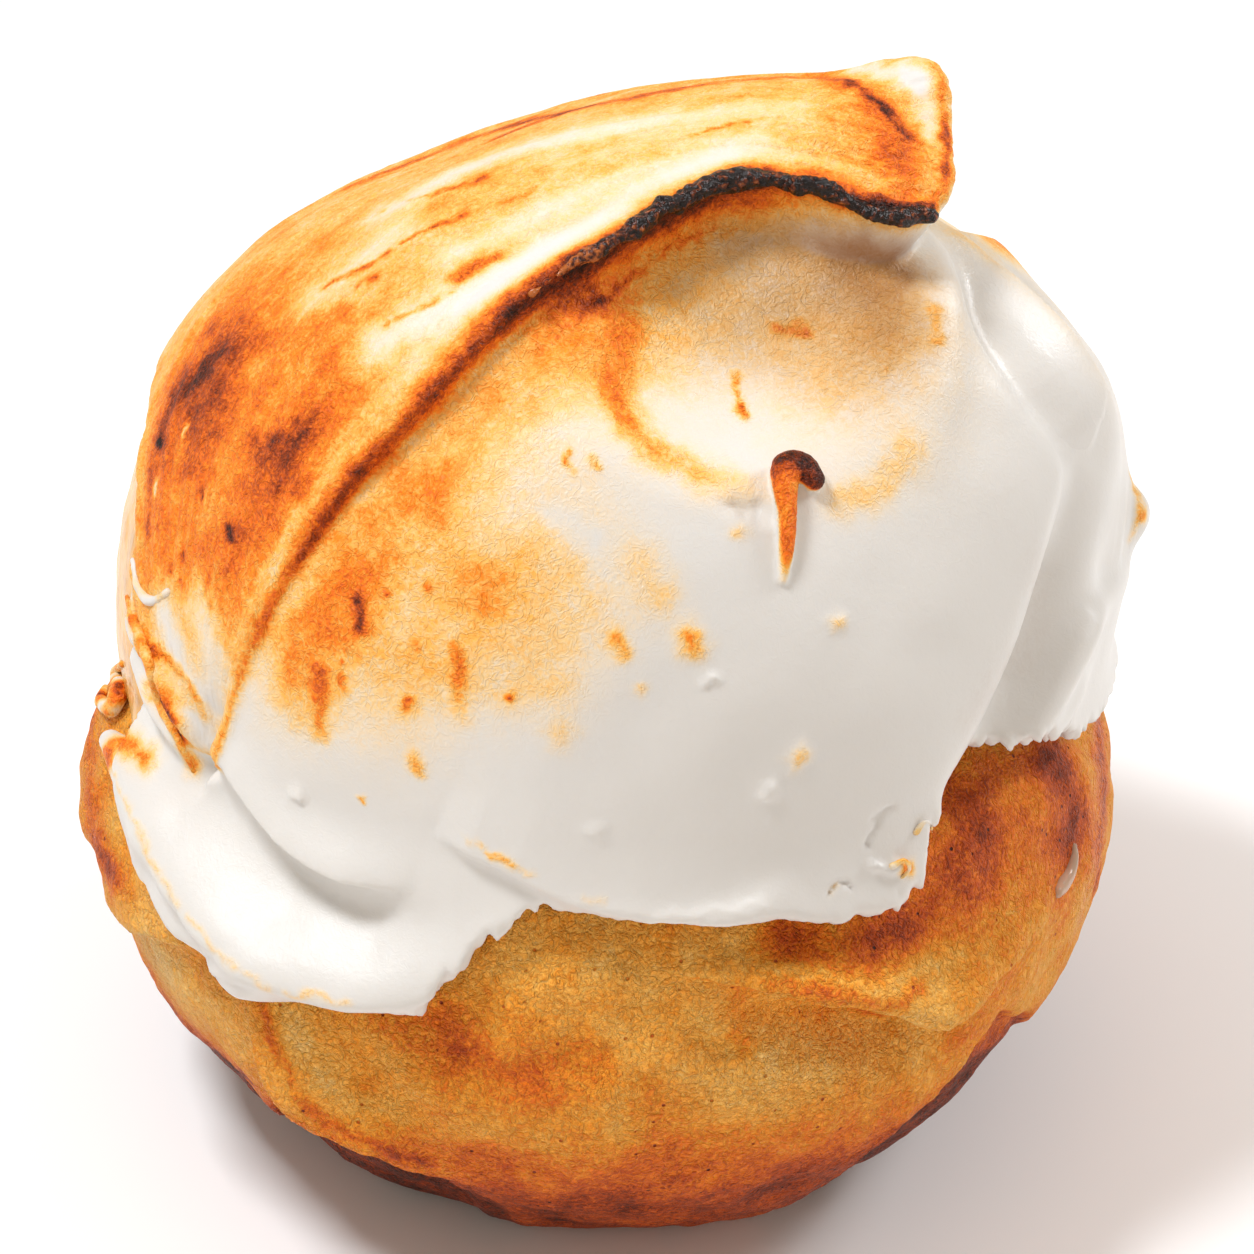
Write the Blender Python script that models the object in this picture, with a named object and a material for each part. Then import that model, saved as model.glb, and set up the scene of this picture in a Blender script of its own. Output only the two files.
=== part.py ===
"""A small lemon meringue pie: a rounded pastry crust, its lemon filling and a toasted meringue.

Each piece is the closed surface where a field of signed distances crosses zero. The fields are in
millimetres, +Z up, with the front towards -Y and the origin in the middle of the flat base. The
meshes are in metres. Marks of the spatula and folds of the pastry are strokes drawn on a sphere of
directions, each point an azimuth and a latitude in degrees, seen from the middle of its piece.
"""
from collections import namedtuple

import bpy
import numpy as np

MILLIMETRE = 0.001

# Crust: a round bun of pastry, cut flat below
CRUST_MIDDLE = np.array([0.0, 0.0, 25.4])
CRUST_RADIUS = 40.6
CRUST_RISE = 23.0
CRUST_DROP = 32.4
CRUST_TOP_POWER = 2.6
CRUST_BASE_POWER = 2.0
CRUST_BASE_ROUNDING = 1.2
CRUST_FOOT_INSET = 1.3
CRUST_FOOT_BLEND = 0.35

# Meringue: a dome with a shoulder, draped over the top of the crust
HEART = np.array([0.0, 0.0, 42.0])
DOME_MIDDLE = (0.5, 1.5, 43.0)
DOME_RADII = (39.7, 39.5, 40.0)
SHOULDER_MIDDLE = (15.0, 2.0, 54.0)
SHOULDER_RADII = (26.0, 26.0, 25.0)
SHOULDER_BLEND = 6.0
DRAPE_THICKNESS = 2.6
DRAPE_TOP = 46.0
DRAPE_BLEND = 4.0
EDGE_ROUNDING = 1.6

# The hollow that the spatula scooped under the lip
SCOOP_MIDDLE = np.array([14.0, -30.0, 95.5])
SCOOP_RADIUS = 27.0
SCOOP_ROUNDING = 2.0

# The band: the broad last swipe of meringue that ends in the raised lip and tip
BAND_THIN = 0.5
BAND_THICKER = 1.3
TIP_DIRECTION = (6.0, 60.0)
TIP_RISE = 5.2
TIP_SPREAD = 13.0
BAND_DEPTH = 2.5
BAND_RISE_START = 5.0
BAND_RISE_SPAN = 60.0
BAND_ROUNDING = 1.2
BAND_UNDER_ROUNDING = 0.5
BAND_BLEND = 0.8

# Lemon filling, under the meringue and bare where the meringue leaves a gap at the left
FILLING_TOP = 64.0
FILLING_TOP_ROUNDING = 6.0
FILLING_BULGE = 1.4
FILLING_BULGE_BLEND = 2.0
GAP = 0.4
SEAM_ROUNDING = 0.3

# Bounds that keep divisions and exponents in range
SMALL = 1e-6
STEEPEST = 50.0

# Directions: degrees between those held, and the distance from the middle at which strokes are sized
DIRECTION_STEP = 0.5
LOWEST_LATITUDE = -60
SURFACE_RADIUS = 40.0
STROKE_REACH = 2.6
OUTLINE_REACH = 15.0

# Rays from the middle of the meringue that find where a pulled peak stands
SHORTEST_RAY = 25.0
LONGEST_RAY = 60.0
HALVINGS = 24

# Meshing: grid cell, how far from the surface the grid is refined, and how points settle on it
CELL = 1.0
REFINED_CELLS = 2.2
NUDGE = 0.001
SETTLING_STEPS = 2
SLOPE_PROBE = 0.15
LEAST_SLOPE = 0.1
LARGEST_MOVE = 0.4
TRIANGLES = {"crust": 4200, "lemon_filling": 1200, "meringue": 7900}

Stroke = namedtuple("Stroke", "points heights left right")
Swell = namedtuple("Swell", "azimuth latitude size height")

# Folds of the pastry, heights along each stroke and its fall-off to the left and right
CRUST_FOLDS = [
    # rolled rim over the paler layer at the left
    Stroke([(192, 4), (204, 0), (215, 3), (226, 6)], (0.6, 1.6, 1.3, 0.3), 4.5, 0.9),
    # fold that runs from under the meringue down to the foot
    Stroke([(228, 8), (232, 3), (234, -4), (239, -10), (247, -13), (256, -16)],
           (0.3, 1.5, 1.6, 1.4, 1.1, 0.2), 4.5, 0.8),
    # overhanging crease at the right, with the hollow and the pinch under it
    Stroke([(276, 14), (284, 12), (292, 9), (300, 6), (307, 2), (314, 3), (322, 4), (332, 6)],
           (0.0, 0.7, 1.1, 1.5, 1.8, 1.4, 0.8, 0.0), 4.5, 1.2),
    Stroke([(284, 7), (291, 6), (299, 3), (306, -1), (313, 0)], (-0.3, -1.2, -1.5, -1.5, -0.4), 2.0, 2.4),
    Stroke([(279, 7), (283, 3), (288, 1)], (-0.3, -0.8, -0.2), 1.6, 1.6),
    # soft creases of the front
    Stroke([(240, 2), (252, -2), (262, -6)], (0.0, 0.5, 0.0), 2.5, 2.5),
    Stroke([(262, 9), (268, 5), (276, 4)], (0.0, -0.5, 0.0), 3.0, 3.0),
]
CRUST_SWELLS = [
    Swell(188, 16, 8, 1.3), Swell(203, -8, 6, 0.4), Swell(212, -14, 7, -0.7), Swell(208, -22, 10, -1.9),
    Swell(228, -34, 9, -1.0), Swell(262, -42, 13, 0.7), Swell(265, -8, 9, 0.7), Swell(290, -40, 10, 0.8),
    Swell(318, -22, 8, 0.5), Swell(318, -36, 10, -1.3), Swell(330, -10, 9, 0.5), Swell(338, -24, 12, -1.0),
    Swell(20, 5, 14, 0.6), Swell(60, -8, 12, -0.6), Swell(105, 3, 14, 0.7), Swell(150, -6, 12, -0.5),
]
# Height of the foot, the narrower base of the crust: azimuth, height
CRUST_FOOT = [(200, 5), (215, 6.5), (228, 11), (240, 11.5), (250, 9.5), (262, 7.5), (280, 6.5),
              (300, 6.5), (315, 8), (335, 9), (0, 8), (40, 7), (90, 8), (140, 7), (170, 6)]

# Lower edge of the meringue round the crust, high over the gap at the left: azimuth, height
MERINGUE_EDGE = [(186, 61), (193, 57), (198, 51), (200.5, 45), (202.5, 39), (206, 34.5), (214, 32.5),
                 (223, 30.6), (233, 29.6), (243, 30.6), (251, 31.6), (255, 34.5), (259, 38), (264, 39.8),
                 (276, 39.2), (286, 38.4), (297, 37), (303, 37.2), (307, 38.5), (312, 40), (323, 41.4),
                 (331, 41.6), (339, 39.6), (350, 36), (10, 34), (25, 31), (45, 30), (70, 34), (95, 29),
                 (120, 33), (145, 38), (160, 54), (175, 62)]
# Thickness of meringue over the filling: azimuth, thickness
MERINGUE_COVER = [(0, 9), (60, 9), (120, 8), (145, 2.6), (160, 2.2), (195, 2.2), (206, 2.6),
                  (218, 4), (250, 9), (300, 9)]
MERINGUE_SWELLS = [
    Swell(170, 40, 12, -0.3), Swell(150, 58, 13, -1.5), Swell(118, 66, 14, -2.0), Swell(205, 55, 16, -0.5),
    Swell(20, 47, 11, -2.0), Swell(5, 40, 8, -0.6), Swell(353, 33, 9, 1.0), Swell(300, 10, 14, 0.5),
    Swell(237, 25, 12, 0.4), Swell(202, -4, 3, 1.0),
]
MERINGUE_STROKES = [
    # valley beside the low end of the lip, and the toasted slope under the lip
    Stroke([(220, 2), (222, 9), (225, 18)], (-1.2, -1.2, 0.0), 2.2, 0.8),
    Stroke([(230, 27), (236, 38), (246, 49), (258, 58), (270, 63)], (0.0, -0.5, -0.9, -1.0, -0.8), 1.8, 3.0),
    Stroke([(252, 50), (262, 58), (276, 64), (295, 68)], (0.0, 0.5, 0.6, 0.0), 1.0, 1.2),
    # slight hollow along the band
    Stroke([(208, 18), (207, 30), (203, 45), (192, 58), (160, 70), (80, 74)],
           (-0.3, -0.7, -0.8, -0.8, -0.6, 0.0), 8.0, 8.0),
    # swoosh at the lower left: its rim, the valley inside and the ridge above
    Stroke([(203, -1), (211, -4), (222, -8), (234, -11), (245, -12), (253, -10)],
           (0.6, 1.3, 1.5, 1.5, 1.2, 0.3), 2.4, 2.0),
    Stroke([(213, 2), (224, -2), (235, -6), (246, -7), (255, -5)], (-0.4, -1.0, -1.2, -1.0, -0.2), 2.4, 2.2),
    Stroke([(221, 7), (226, 4), (234, 0), (242, -2), (250, -2)], (0.0, 0.7, 0.9, 0.7, 0.0), 2.0, 1.4),
    Stroke([(232, -15), (245, -16), (254, -13)], (0.0, -0.5, 0.0), 1.6, 1.6),
    # fold where the front overlaps the swoosh, and its rolled lower rim
    Stroke([(252, 5), (256, 3.5), (261, 2), (267, -0.5), (274, -2), (284, -3.5)],
           (0.0, 0.9, 1.2, 1.0, 0.7, 0.1), 5.0, 0.8),
    Stroke([(268, -2), (278, -4), (286, -3.5), (292, -1)], (0.2, 0.6, 0.6, 0.0), 1.2, 1.6),
    # strands pulled at the left, and the gap between them
    Stroke([(199, 14), (204, 11), (210, 11), (216, 7), (219, 4)], (0.9, 1.0, 0.8, 0.9, 0.4), 0.9, 0.9),
    Stroke([(204, 8), (209, 5), (214, 3), (220, 0)], (0.7, 1.0, 1.0, 0.3), 0.9, 1.1),
    Stroke([(203, 5), (208, 2), (212, 0)], (-0.6, -0.8, -0.2), 1.0, 1.0),
    # right wall of the scoop, the crease beside it and the fold behind
    Stroke([(357, 53), (340, 51), (325, 44), (316, 36)], (1.0, 1.0, 0.6, 0.0), 2.6, 3.0),
    Stroke([(358, 54), (344, 47), (340, 39), (341, 31), (339, 22)], (-0.8, -1.1, -1.1, -0.8, 0.0), 1.6, 1.2),
    Stroke([(8, 52), (356, 45), (352, 38), (351, 30)], (0.4, 0.8, 0.8, 0.2), 2.0, 3.0),
    # soft folds of the right side
    Stroke([(344, 27), (335, 20), (326, 11), (316, 3), (311, 0)], (-0.5, -1.3, -1.3, -0.9, 0.0), 3.6, 3.0),
    Stroke([(352, 10), (338, 11), (329, 7), (320, 1), (314, -2)], (0.3, 0.9, 1.0, 0.8, 0.0), 2.6, 2.2),
    Stroke([(356, 20), (346, 14), (338, 2)], (-1.0, -1.0, -0.2), 3.4, 3.4),
    # spatula ridges that run down the back
    Stroke([(95, 66), (110, 50), (118, 32), (122, 12), (124, -8)], (0.0, 1.4, 1.7, 1.5, 0.3), 1.1, 4.5),
    Stroke([(40, 58), (62, 45), (76, 28), (83, 10), (86, -10)], (0.0, 1.4, 1.7, 1.5, 0.3), 1.1, 4.5),
    Stroke([(10, 50), (24, 38), (38, 22), (46, 6), (50, -10)], (0.0, 1.1, 1.5, 1.3, 0.2), 1.1, 4.5),
    Stroke([(152, 46), (154, 34), (150, 20), (146, 5), (143, -8)], (0.0, 1.0, 1.3, 1.1, 0.2), 1.1, 4.0),
]
# Outline of the band: its lip along the front, its end at the tip, and its back edge
BAND_LIP = [(223, 3), (225, 12), (228, 22), (231, 31), (235, 40), (243, 51), (251, 60), (261, 66),
            (271, 69), (292, 73), (318, 72.5), (328, 67), (332, 61), (338, 56.5)]
BAND_END = [(348, 56), (357, 57.6), (6, 59.2)]
BAND_BACK = [(22, 63), (45, 66), (80, 66), (112, 61), (140, 53), (158, 43), (172, 32), (186, 23),
             (202, 14), (214, 4)]
BEAD = Stroke(BAND_LIP[2:], (0.1, 0.4, 0.7, 0.8, 0.9, 0.9), 1.5, 1.5)
RIM_GROOVE = Stroke([(21, 69), (12, 66), (4, 64), (357, 62), (349, 60.5)], (-0.3, -0.6, -0.6, -0.2), 0.9, 0.9)
TIP_SWELL = Swell(10, 60, 4, 2.2)

# Pulled peaks: azimuth, latitude, radius and height of the middle line over the surface
HOOK = [(293, 32, 0.35, 0.1), (294.3, 35.5, 0.8, 0.4), (295.3, 38.5, 1.0, 0.7), (296.5, 41, 1.3, 0.9),
        (298.8, 43.5, 1.9, 0.9), (301.8, 43, 1.6, 1.0), (303, 41, 1.1, 0.8)]
HOOK_BLEND = 0.4
SIDE_PEAK = [(355.5, 22, 5.0, -3.0), (357, 18.5, 2.2, 0.6), (357, 17, 0.9, 2.4)]
SIDE_PEAK_BLEND = 3.0

# Seen colour (linear RGB), roughness
FINISHES = {
    "crust": ((0.52, 0.235, 0.045, 1.0), 0.62),
    "lemon_filling": ((0.82, 0.55, 0.16, 1.0), 0.3),
    "meringue": ((0.88, 0.82, 0.74, 1.0), 0.5),
}


def smooth_min(a, b, blend):
    """Lesser of two fields, rounded over a width."""
    share = np.clip(0.5 + 0.5 * (b - a) / blend, 0, 1)
    return b + (a - b) * share - blend * share * (1 - share)


def smooth_max(a, b, blend):
    """Greater of two fields, rounded over a width."""
    return -smooth_min(-a, -b, blend)


def unit(azimuth, latitude):
    """Unit vectors for angles in degrees."""
    azimuth, latitude = np.radians(azimuth), np.radians(latitude)
    level = np.cos(latitude)
    return np.stack([np.cos(azimuth) * level, np.sin(azimuth) * level, np.sin(latitude)], -1)


def angles(points, middle):
    """Azimuth from 0 to 360 and latitude of points seen from a middle."""
    offset = points - middle
    azimuth = np.degrees(np.arctan2(offset[:, 1], offset[:, 0])) % 360
    latitude = np.degrees(np.arctan2(offset[:, 2], np.hypot(offset[:, 0], offset[:, 1])))
    return azimuth, latitude


def smooth_path(rows, count):
    """Rows on a Catmull-Rom curve through the given rows."""
    rows = np.array(rows, float)
    padded = np.vstack([2 * rows[0] - rows[1], rows, 2 * rows[-1] - rows[-2]])
    place = np.linspace(0, len(rows) - 1, count)
    i = np.minimum(place.astype(int), len(rows) - 2)
    t = (place - i)[:, None]
    a, b, c, d = (padded[i + n] for n in range(4))
    return b + 0.5 * t * (c - a + t * (2 * a - 5 * b + 4 * c - d + t * (3 * (b - c) + d - a)))


def around(azimuth, points):
    """Value at an azimuth on a closed smooth curve through (azimuth, value) points."""
    at, value = np.array(sorted(points), float).T
    at = np.concatenate([at[-1:] - 360, at, at[:1] + 360])
    value = np.concatenate([value[-1:], value, value[:1]])
    i = np.clip(np.searchsorted(at, azimuth, side="right") - 1, 0, len(at) - 2)
    t = (azimuth - at[i]) / (at[i + 1] - at[i])
    t = t * t * (3 - 2 * t)
    return value[i] * (1 - t) + value[i + 1] * t


def ellipsoid(points, middle, radii):
    """Approximate distance to an ellipsoid."""
    offset = (points - np.array(middle)) / np.array(radii)
    size = np.linalg.norm(offset, axis=1)
    slope = np.linalg.norm(offset / np.array(radii), axis=1)
    return size * (size - 1) / np.maximum(slope, SMALL)


def strand(points, path):
    """Distance to a tapered round strand along rows of x, y, z and radius."""
    nearest = np.full(len(points), np.inf)
    for start, end in zip(path[:-1], path[1:]):
        run = end[:3] - start[:3]
        t = np.clip((points - start[:3]) @ run / (run @ run), 0, 1)
        gap = np.linalg.norm(points - start[:3] - t[:, None] * run, axis=1)
        nearest = np.minimum(nearest, gap - start[3] - t * (end[3] - start[3]))
    return nearest


class Directions:
    """Heights over every direction from the middle of a piece, held by azimuth and latitude.

    Strokes and swells are measured as if they lay SURFACE_RADIUS from the middle.
    """

    def __init__(self):
        self.azimuths = np.arange(0, 360 + DIRECTION_STEP / 2, DIRECTION_STEP)
        self.latitudes = np.arange(LOWEST_LATITUDE, 90 + DIRECTION_STEP / 2, DIRECTION_STEP)
        azimuth, latitude = np.meshgrid(self.azimuths, self.latitudes, indexing="ij")
        self.shape = azimuth.shape
        self.vectors = unit(azimuth.ravel(), latitude.ravel())
        self.heights = np.zeros(len(self.vectors))

    def nearest(self, path, reach):
        """Directions near a path: their numbers, distances, sides and shares of the way along."""
        middle = path.mean(0) / np.linalg.norm(path.mean(0))
        span = np.arccos(np.clip(path @ middle, -1, 1)).max() + reach / SURFACE_RADIUS
        near = np.flatnonzero(self.vectors @ middle > np.cos(min(span, np.pi)))
        vectors = self.vectors[near]
        least = np.full(len(near), np.inf)
        side, along = np.zeros(len(near)), np.zeros(len(near))
        for n, (start, end) in enumerate(zip(path[:-1], path[1:])):
            run = end - start
            t = np.clip((vectors - start) @ run / (run @ run), 0, 1)
            gap = np.linalg.norm(vectors - start - t[:, None] * run, axis=1)
            closer = gap < least
            least[closer] = gap[closer]
            side[closer] = vectors[closer] @ np.cross(start, end)
            along[closer] = (n + t[closer]) / (len(path) - 1)
        return near, least * SURFACE_RADIUS, side, along

    def add_stroke(self, stroke):
        """Raise or sink a line, with its own fall-off on each side."""
        path = smooth_path(unit(*np.array(stroke.points, float).T), 4 * len(stroke.points) - 3)
        path /= np.linalg.norm(path, axis=1)[:, None]
        near, distance, side, along = self.nearest(path, STROKE_REACH * max(stroke.left, stroke.right))
        width = np.where(side > 0, stroke.left, stroke.right)
        height = np.interp(along, np.linspace(0, 1, len(stroke.heights)), stroke.heights)
        self.heights[near] += height * np.exp(-(distance / width) ** 2)

    def add_swell(self, swell):
        """Raise or sink a round spot."""
        facing = self.vectors @ unit(swell.azimuth, swell.latitude)
        distance = np.arccos(np.clip(facing, -1, 1)) * SURFACE_RADIUS
        self.heights += swell.height * np.exp(-(distance / swell.size) ** 2)

    def set_inside(self, points):
        """Set each height to its distance inside a closed outline, negative outside."""
        corners = unit(*np.array(points, float).T)
        path = smooth_path(np.vstack([corners[-2:], corners, corners[:3]]), 4 * (len(corners) + 4) + 1)
        path = path[8:4 * len(corners) + 9]
        path /= np.linalg.norm(path, axis=1)[:, None]
        near, distance, _, _ = self.nearest(path, OUTLINE_REACH)
        middle = path.mean(0) / np.linalg.norm(path.mean(0))
        east = np.cross([0.0, 0.0, 1.0], middle)
        east /= np.linalg.norm(east)
        north = np.cross(middle, east)

        def flat(vectors):
            angle = np.arccos(np.clip(vectors @ middle, -1, 1))
            level = np.stack([vectors @ east, vectors @ north], 1)
            return level * (angle / np.maximum(np.linalg.norm(level, axis=1), SMALL))[:, None]

        outline, spots = flat(path), flat(self.vectors[near])
        inside = np.zeros(len(spots), bool)
        for (x0, y0), (x1, y1) in zip(outline[:-1], outline[1:]):
            if y0 != y1:
                between = (y0 > spots[:, 1]) != (y1 > spots[:, 1])
                inside ^= between & (spots[:, 0] < x0 + (spots[:, 1] - y0) * (x1 - x0) / (y1 - y0))
        self.heights[:] = -OUTLINE_REACH
        self.heights[near] = np.where(inside, 1, -1) * np.minimum(distance, OUTLINE_REACH)

    def at(self, azimuth, latitude):
        """Height at any azimuth and latitude, blended from the four held around it."""
        heights = self.heights.reshape(self.shape)
        u = np.clip(azimuth / DIRECTION_STEP, 0, self.shape[0] - 1.001)
        v = np.clip((latitude - LOWEST_LATITUDE) / DIRECTION_STEP, 0, self.shape[1] - 1.001)
        i, j = u.astype(int), v.astype(int)
        u, v = u - i, v - j
        low = heights[i, j] * (1 - u) + heights[i + 1, j] * u
        high = heights[i, j + 1] * (1 - u) + heights[i + 1, j + 1] * u
        return low * (1 - v) + high * v


def directions(strokes=(), swells=()):
    """Directions raised by strokes and swells."""
    made = Directions()
    for stroke in strokes:
        made.add_stroke(stroke)
    for swell in swells:
        made.add_swell(swell)
    return made


crust_folds = directions(CRUST_FOLDS, CRUST_SWELLS)
meringue_form = directions(swells=MERINGUE_SWELLS)
meringue_strokes = directions(MERINGUE_STROKES)
band_trim = directions([BEAD, RIM_GROOVE], [TIP_SWELL])
band_inside = Directions()
band_inside.set_inside(BAND_LIP + BAND_END + BAND_BACK)


def crust(points):
    """Bun of pastry: a superellipsoid with folds, a narrower foot and a flat base."""
    offset = points - CRUST_MIDDLE
    distance = np.maximum(np.linalg.norm(offset, axis=1), SMALL)
    facing = offset / distance[:, None]
    azimuth, latitude = angles(points, CRUST_MIDDLE)
    level = np.hypot(facing[:, 0], facing[:, 1]) / CRUST_RADIUS
    upper = facing[:, 2] > 0
    upright = np.abs(facing[:, 2]) / np.where(upper, CRUST_RISE, CRUST_DROP) + SMALL
    power = np.where(upper, CRUST_TOP_POWER, CRUST_BASE_POWER)
    radius = (level ** power + upright ** power) ** (-1 / power) + crust_folds.at(azimuth, latitude)
    above_foot = (points[:, 2] - around(azimuth, CRUST_FOOT)) / CRUST_FOOT_BLEND
    radius -= CRUST_FOOT_INSET / (1 + np.exp(np.clip(above_foot, -STEEPEST, STEEPEST)))
    return smooth_max(distance - radius, -points[:, 2], CRUST_BASE_ROUNDING)


def dome(points):
    """Broad form of the meringue, without its marks."""
    body = ellipsoid(points, DOME_MIDDLE, DOME_RADII)
    shoulder = ellipsoid(points, SHOULDER_MIDDLE, SHOULDER_RADII)
    return smooth_min(body, shoulder, SHOULDER_BLEND) - meringue_form.at(*angles(points, HEART))


def band_thickness(azimuth, latitude):
    """Thickness of the band: thin at the left, thicker on top and high at the tip."""
    facing_tip = unit(azimuth, latitude) @ unit(*TIP_DIRECTION)
    from_tip = np.arccos(np.clip(facing_tip, -1, 1)) * SURFACE_RADIUS
    rise = np.clip((latitude - BAND_RISE_START) / BAND_RISE_SPAN, 0, 1)
    thickness = BAND_THIN + BAND_THICKER * rise * rise * (3 - 2 * rise)
    return thickness + TIP_RISE * np.exp(-(from_tip / TIP_SPREAD) ** 2)


def spread(points):
    """Meringue over dome and crust, scooped under the lip of the band."""
    azimuth, latitude = angles(points, HEART)
    marks = meringue_strokes.at(azimuth, latitude)
    bare = dome(points)
    drape = smooth_max(crust(points) - DRAPE_THICKNESS, points[:, 2] - DRAPE_TOP, DRAPE_BLEND)
    under = smooth_min(bare, drape, DRAPE_BLEND) - marks
    scoop = SCOOP_RADIUS - np.linalg.norm(points - SCOOP_MIDDLE, axis=1)
    under = smooth_max(under, scoop, SCOOP_ROUNDING)
    band = bare - marks - band_thickness(azimuth, latitude) - band_trim.at(azimuth, latitude)
    band = smooth_max(band, -band_inside.at(azimuth, latitude), BAND_ROUNDING)
    band = smooth_max(band, marks - bare - BAND_DEPTH, BAND_UNDER_ROUNDING)
    return smooth_min(under, band, BAND_BLEND)


def laid(rows):
    """Rows of x, y, z and radius for a peak that lies on the spread meringue."""
    rows = np.array(rows, float)
    facing = unit(rows[:, 0], rows[:, 1])
    low, high = np.full(len(rows), SHORTEST_RAY), np.full(len(rows), LONGEST_RAY)
    for _ in range(HALVINGS):
        middle = (low + high) / 2
        inside = spread(HEART + middle[:, None] * facing) < 0
        low, high = np.where(inside, middle, low), np.where(inside, high, middle)
    return np.column_stack([HEART + (low + rows[:, 3])[:, None] * facing, rows[:, 2]])


hook = smooth_path(laid(HOOK), 19)
side_peak = smooth_path(laid(SIDE_PEAK), 7)


def meringue_gap(points):
    """Positive below the lower edge of the meringue."""
    azimuth, _ = angles(points, HEART)
    return around(azimuth, MERINGUE_EDGE) - points[:, 2]


def filling_mound(points):
    """Filling before the crust is taken out of it: it bulges where it is bare."""
    azimuth, _ = angles(points, HEART)
    bare = np.clip(meringue_gap(points) / FILLING_BULGE_BLEND + 0.5, 0, 1)
    mound = dome(points) + around(azimuth, MERINGUE_COVER) - FILLING_BULGE * bare
    return smooth_max(mound, points[:, 2] - FILLING_TOP, FILLING_TOP_ROUNDING)


def lemon_filling(points):
    """Mound of filling that stands on the crust."""
    return smooth_max(filling_mound(points), GAP - crust(points), SEAM_ROUNDING)


def meringue(points):
    """Spread meringue with its pulled peaks, hollowed by the filling and the crust."""
    outer = smooth_min(spread(points), strand(points, hook), HOOK_BLEND)
    outer = smooth_min(outer, strand(points, side_peak), SIDE_PEAK_BLEND)
    outer = smooth_max(outer, meringue_gap(points), EDGE_ROUNDING)
    return smooth_max(outer, GAP - np.minimum(crust(points), filling_mound(points)), SEAM_ROUNDING)


def sample(field, low, high):
    """Field values on a grid: coarse first, then twice as fine near the surface."""
    coarse = 2 * CELL
    counts = np.ceil((np.array(high) - low) / coarse).astype(int) + 1
    grid = np.stack(np.meshgrid(*(np.arange(n) for n in counts), indexing="ij"), -1)
    values = field(low + coarse * grid.reshape(-1, 3)).reshape(counts)
    for axis in range(3):
        values = np.moveaxis(values, axis, 0)
        fine = np.empty((2 * len(values) - 1,) + values.shape[1:])
        fine[::2] = values
        fine[1::2] = (values[:-1] + values[1:]) / 2
        values = np.moveaxis(fine, 0, axis)
    near = np.argwhere(np.abs(values) < REFINED_CELLS * coarse)
    values[tuple(near.T)] = field(low + CELL * near)
    return values


def untangle(values):
    """Nudge samples where the surface would touch itself: across a square's or a cube's diagonal."""
    changed = True
    while changed:
        changed = False
        for axis in range(3):
            steps = np.delete(np.eye(3, dtype=int), axis, 0)
            square = [0 * steps[0], steps[0], steps[0] + steps[1], steps[1]]
            sizes = np.array(values.shape) - steps.sum(0)
            held = np.stack([values[tuple(slice(s, s + n) for s, n in zip(step, sizes))] for step in square])
            inside = held < 0
            crossed = (inside[0] == inside[2]) & (inside[1] == inside[3]) & (inside[0] != inside[1])
            for place in np.argwhere(crossed):
                corners = [tuple(place + step) for step in square]
                if (values[corners[0]] < 0) == (values[corners[2]] < 0) != (values[corners[1]] < 0):
                    nearest = min(corners, key=lambda corner: abs(values[corner]))
                    values[nearest] = -np.sign(values[nearest]) * NUDGE
                    changed = True
        inside = values < 0
        cube = [(i, j, k) for i in (0, 1) for j in (0, 1) for k in (0, 1)]
        sizes = np.array(values.shape) - 1
        held = np.stack([inside[tuple(slice(c, c + n) for c, n in zip(corner, sizes))] for corner in cube])
        for n in range(4):
            pair = np.isin(range(8), (n, 7 - n))
            alone = (held[pair] != held[~pair][0]).all(0) & (held[~pair] == held[~pair][0]).all(0)
            for place in np.argwhere(alone):
                corner = tuple(place + cube[n])
                values[corner] = -np.sign(values[corner]) * NUDGE
                changed = True
    return values


def surface(values, low):
    """Quads round the zero of sampled values, one point for each cell that the surface crosses."""
    inside = values < 0
    corners = np.array([(i, j, k) for i in (0, 1) for j in (0, 1) for k in (0, 1)])
    sizes = np.array(values.shape) - 1
    blocks = [tuple(slice(c, c + n) for c, n in zip(corner, sizes)) for corner in corners]
    count = sum(inside[block].astype(int) for block in blocks)
    cells = np.argwhere((count > 0) & (count < 8))
    number = np.full(sizes, -1)
    number[tuple(cells.T)] = np.arange(len(cells))
    held = [values[tuple((cells + corner).T)] for corner in corners]
    total, crossings = np.zeros((len(cells), 3)), np.zeros(len(cells))
    for m, first in enumerate(corners):
        for n, second in enumerate(corners):
            if n > m and np.abs(first - second).sum() == 1:
                crossed = (held[m] < 0) != (held[n] < 0)
                share = held[m] / np.where(crossed, held[m] - held[n], 1)
                total += crossed[:, None] * (first + share[:, None] * (second - first))
                crossings += crossed
    points = low + CELL * (cells + total / crossings[:, None])
    quads = []
    for axis in range(3):
        second, third = np.eye(3, dtype=int)[[(axis + 1) % 3, (axis + 2) % 3]]
        here = inside[tuple(slice(0, -1) if a == axis else slice(1, -1) for a in range(3))]
        there = inside[tuple(slice(1, None) if a == axis else slice(1, -1) for a in range(3))]
        edges = np.argwhere(here != there) + second + third
        ring = [number[tuple((edges - step).T)] for step in (0 * second, second, second + third, third)]
        ring = np.stack(ring, 1)
        outward = inside[tuple(edges.T)]
        ring[~outward] = ring[~outward][:, ::-1]
        quads.append(ring)
    return points, np.concatenate(quads)


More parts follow.
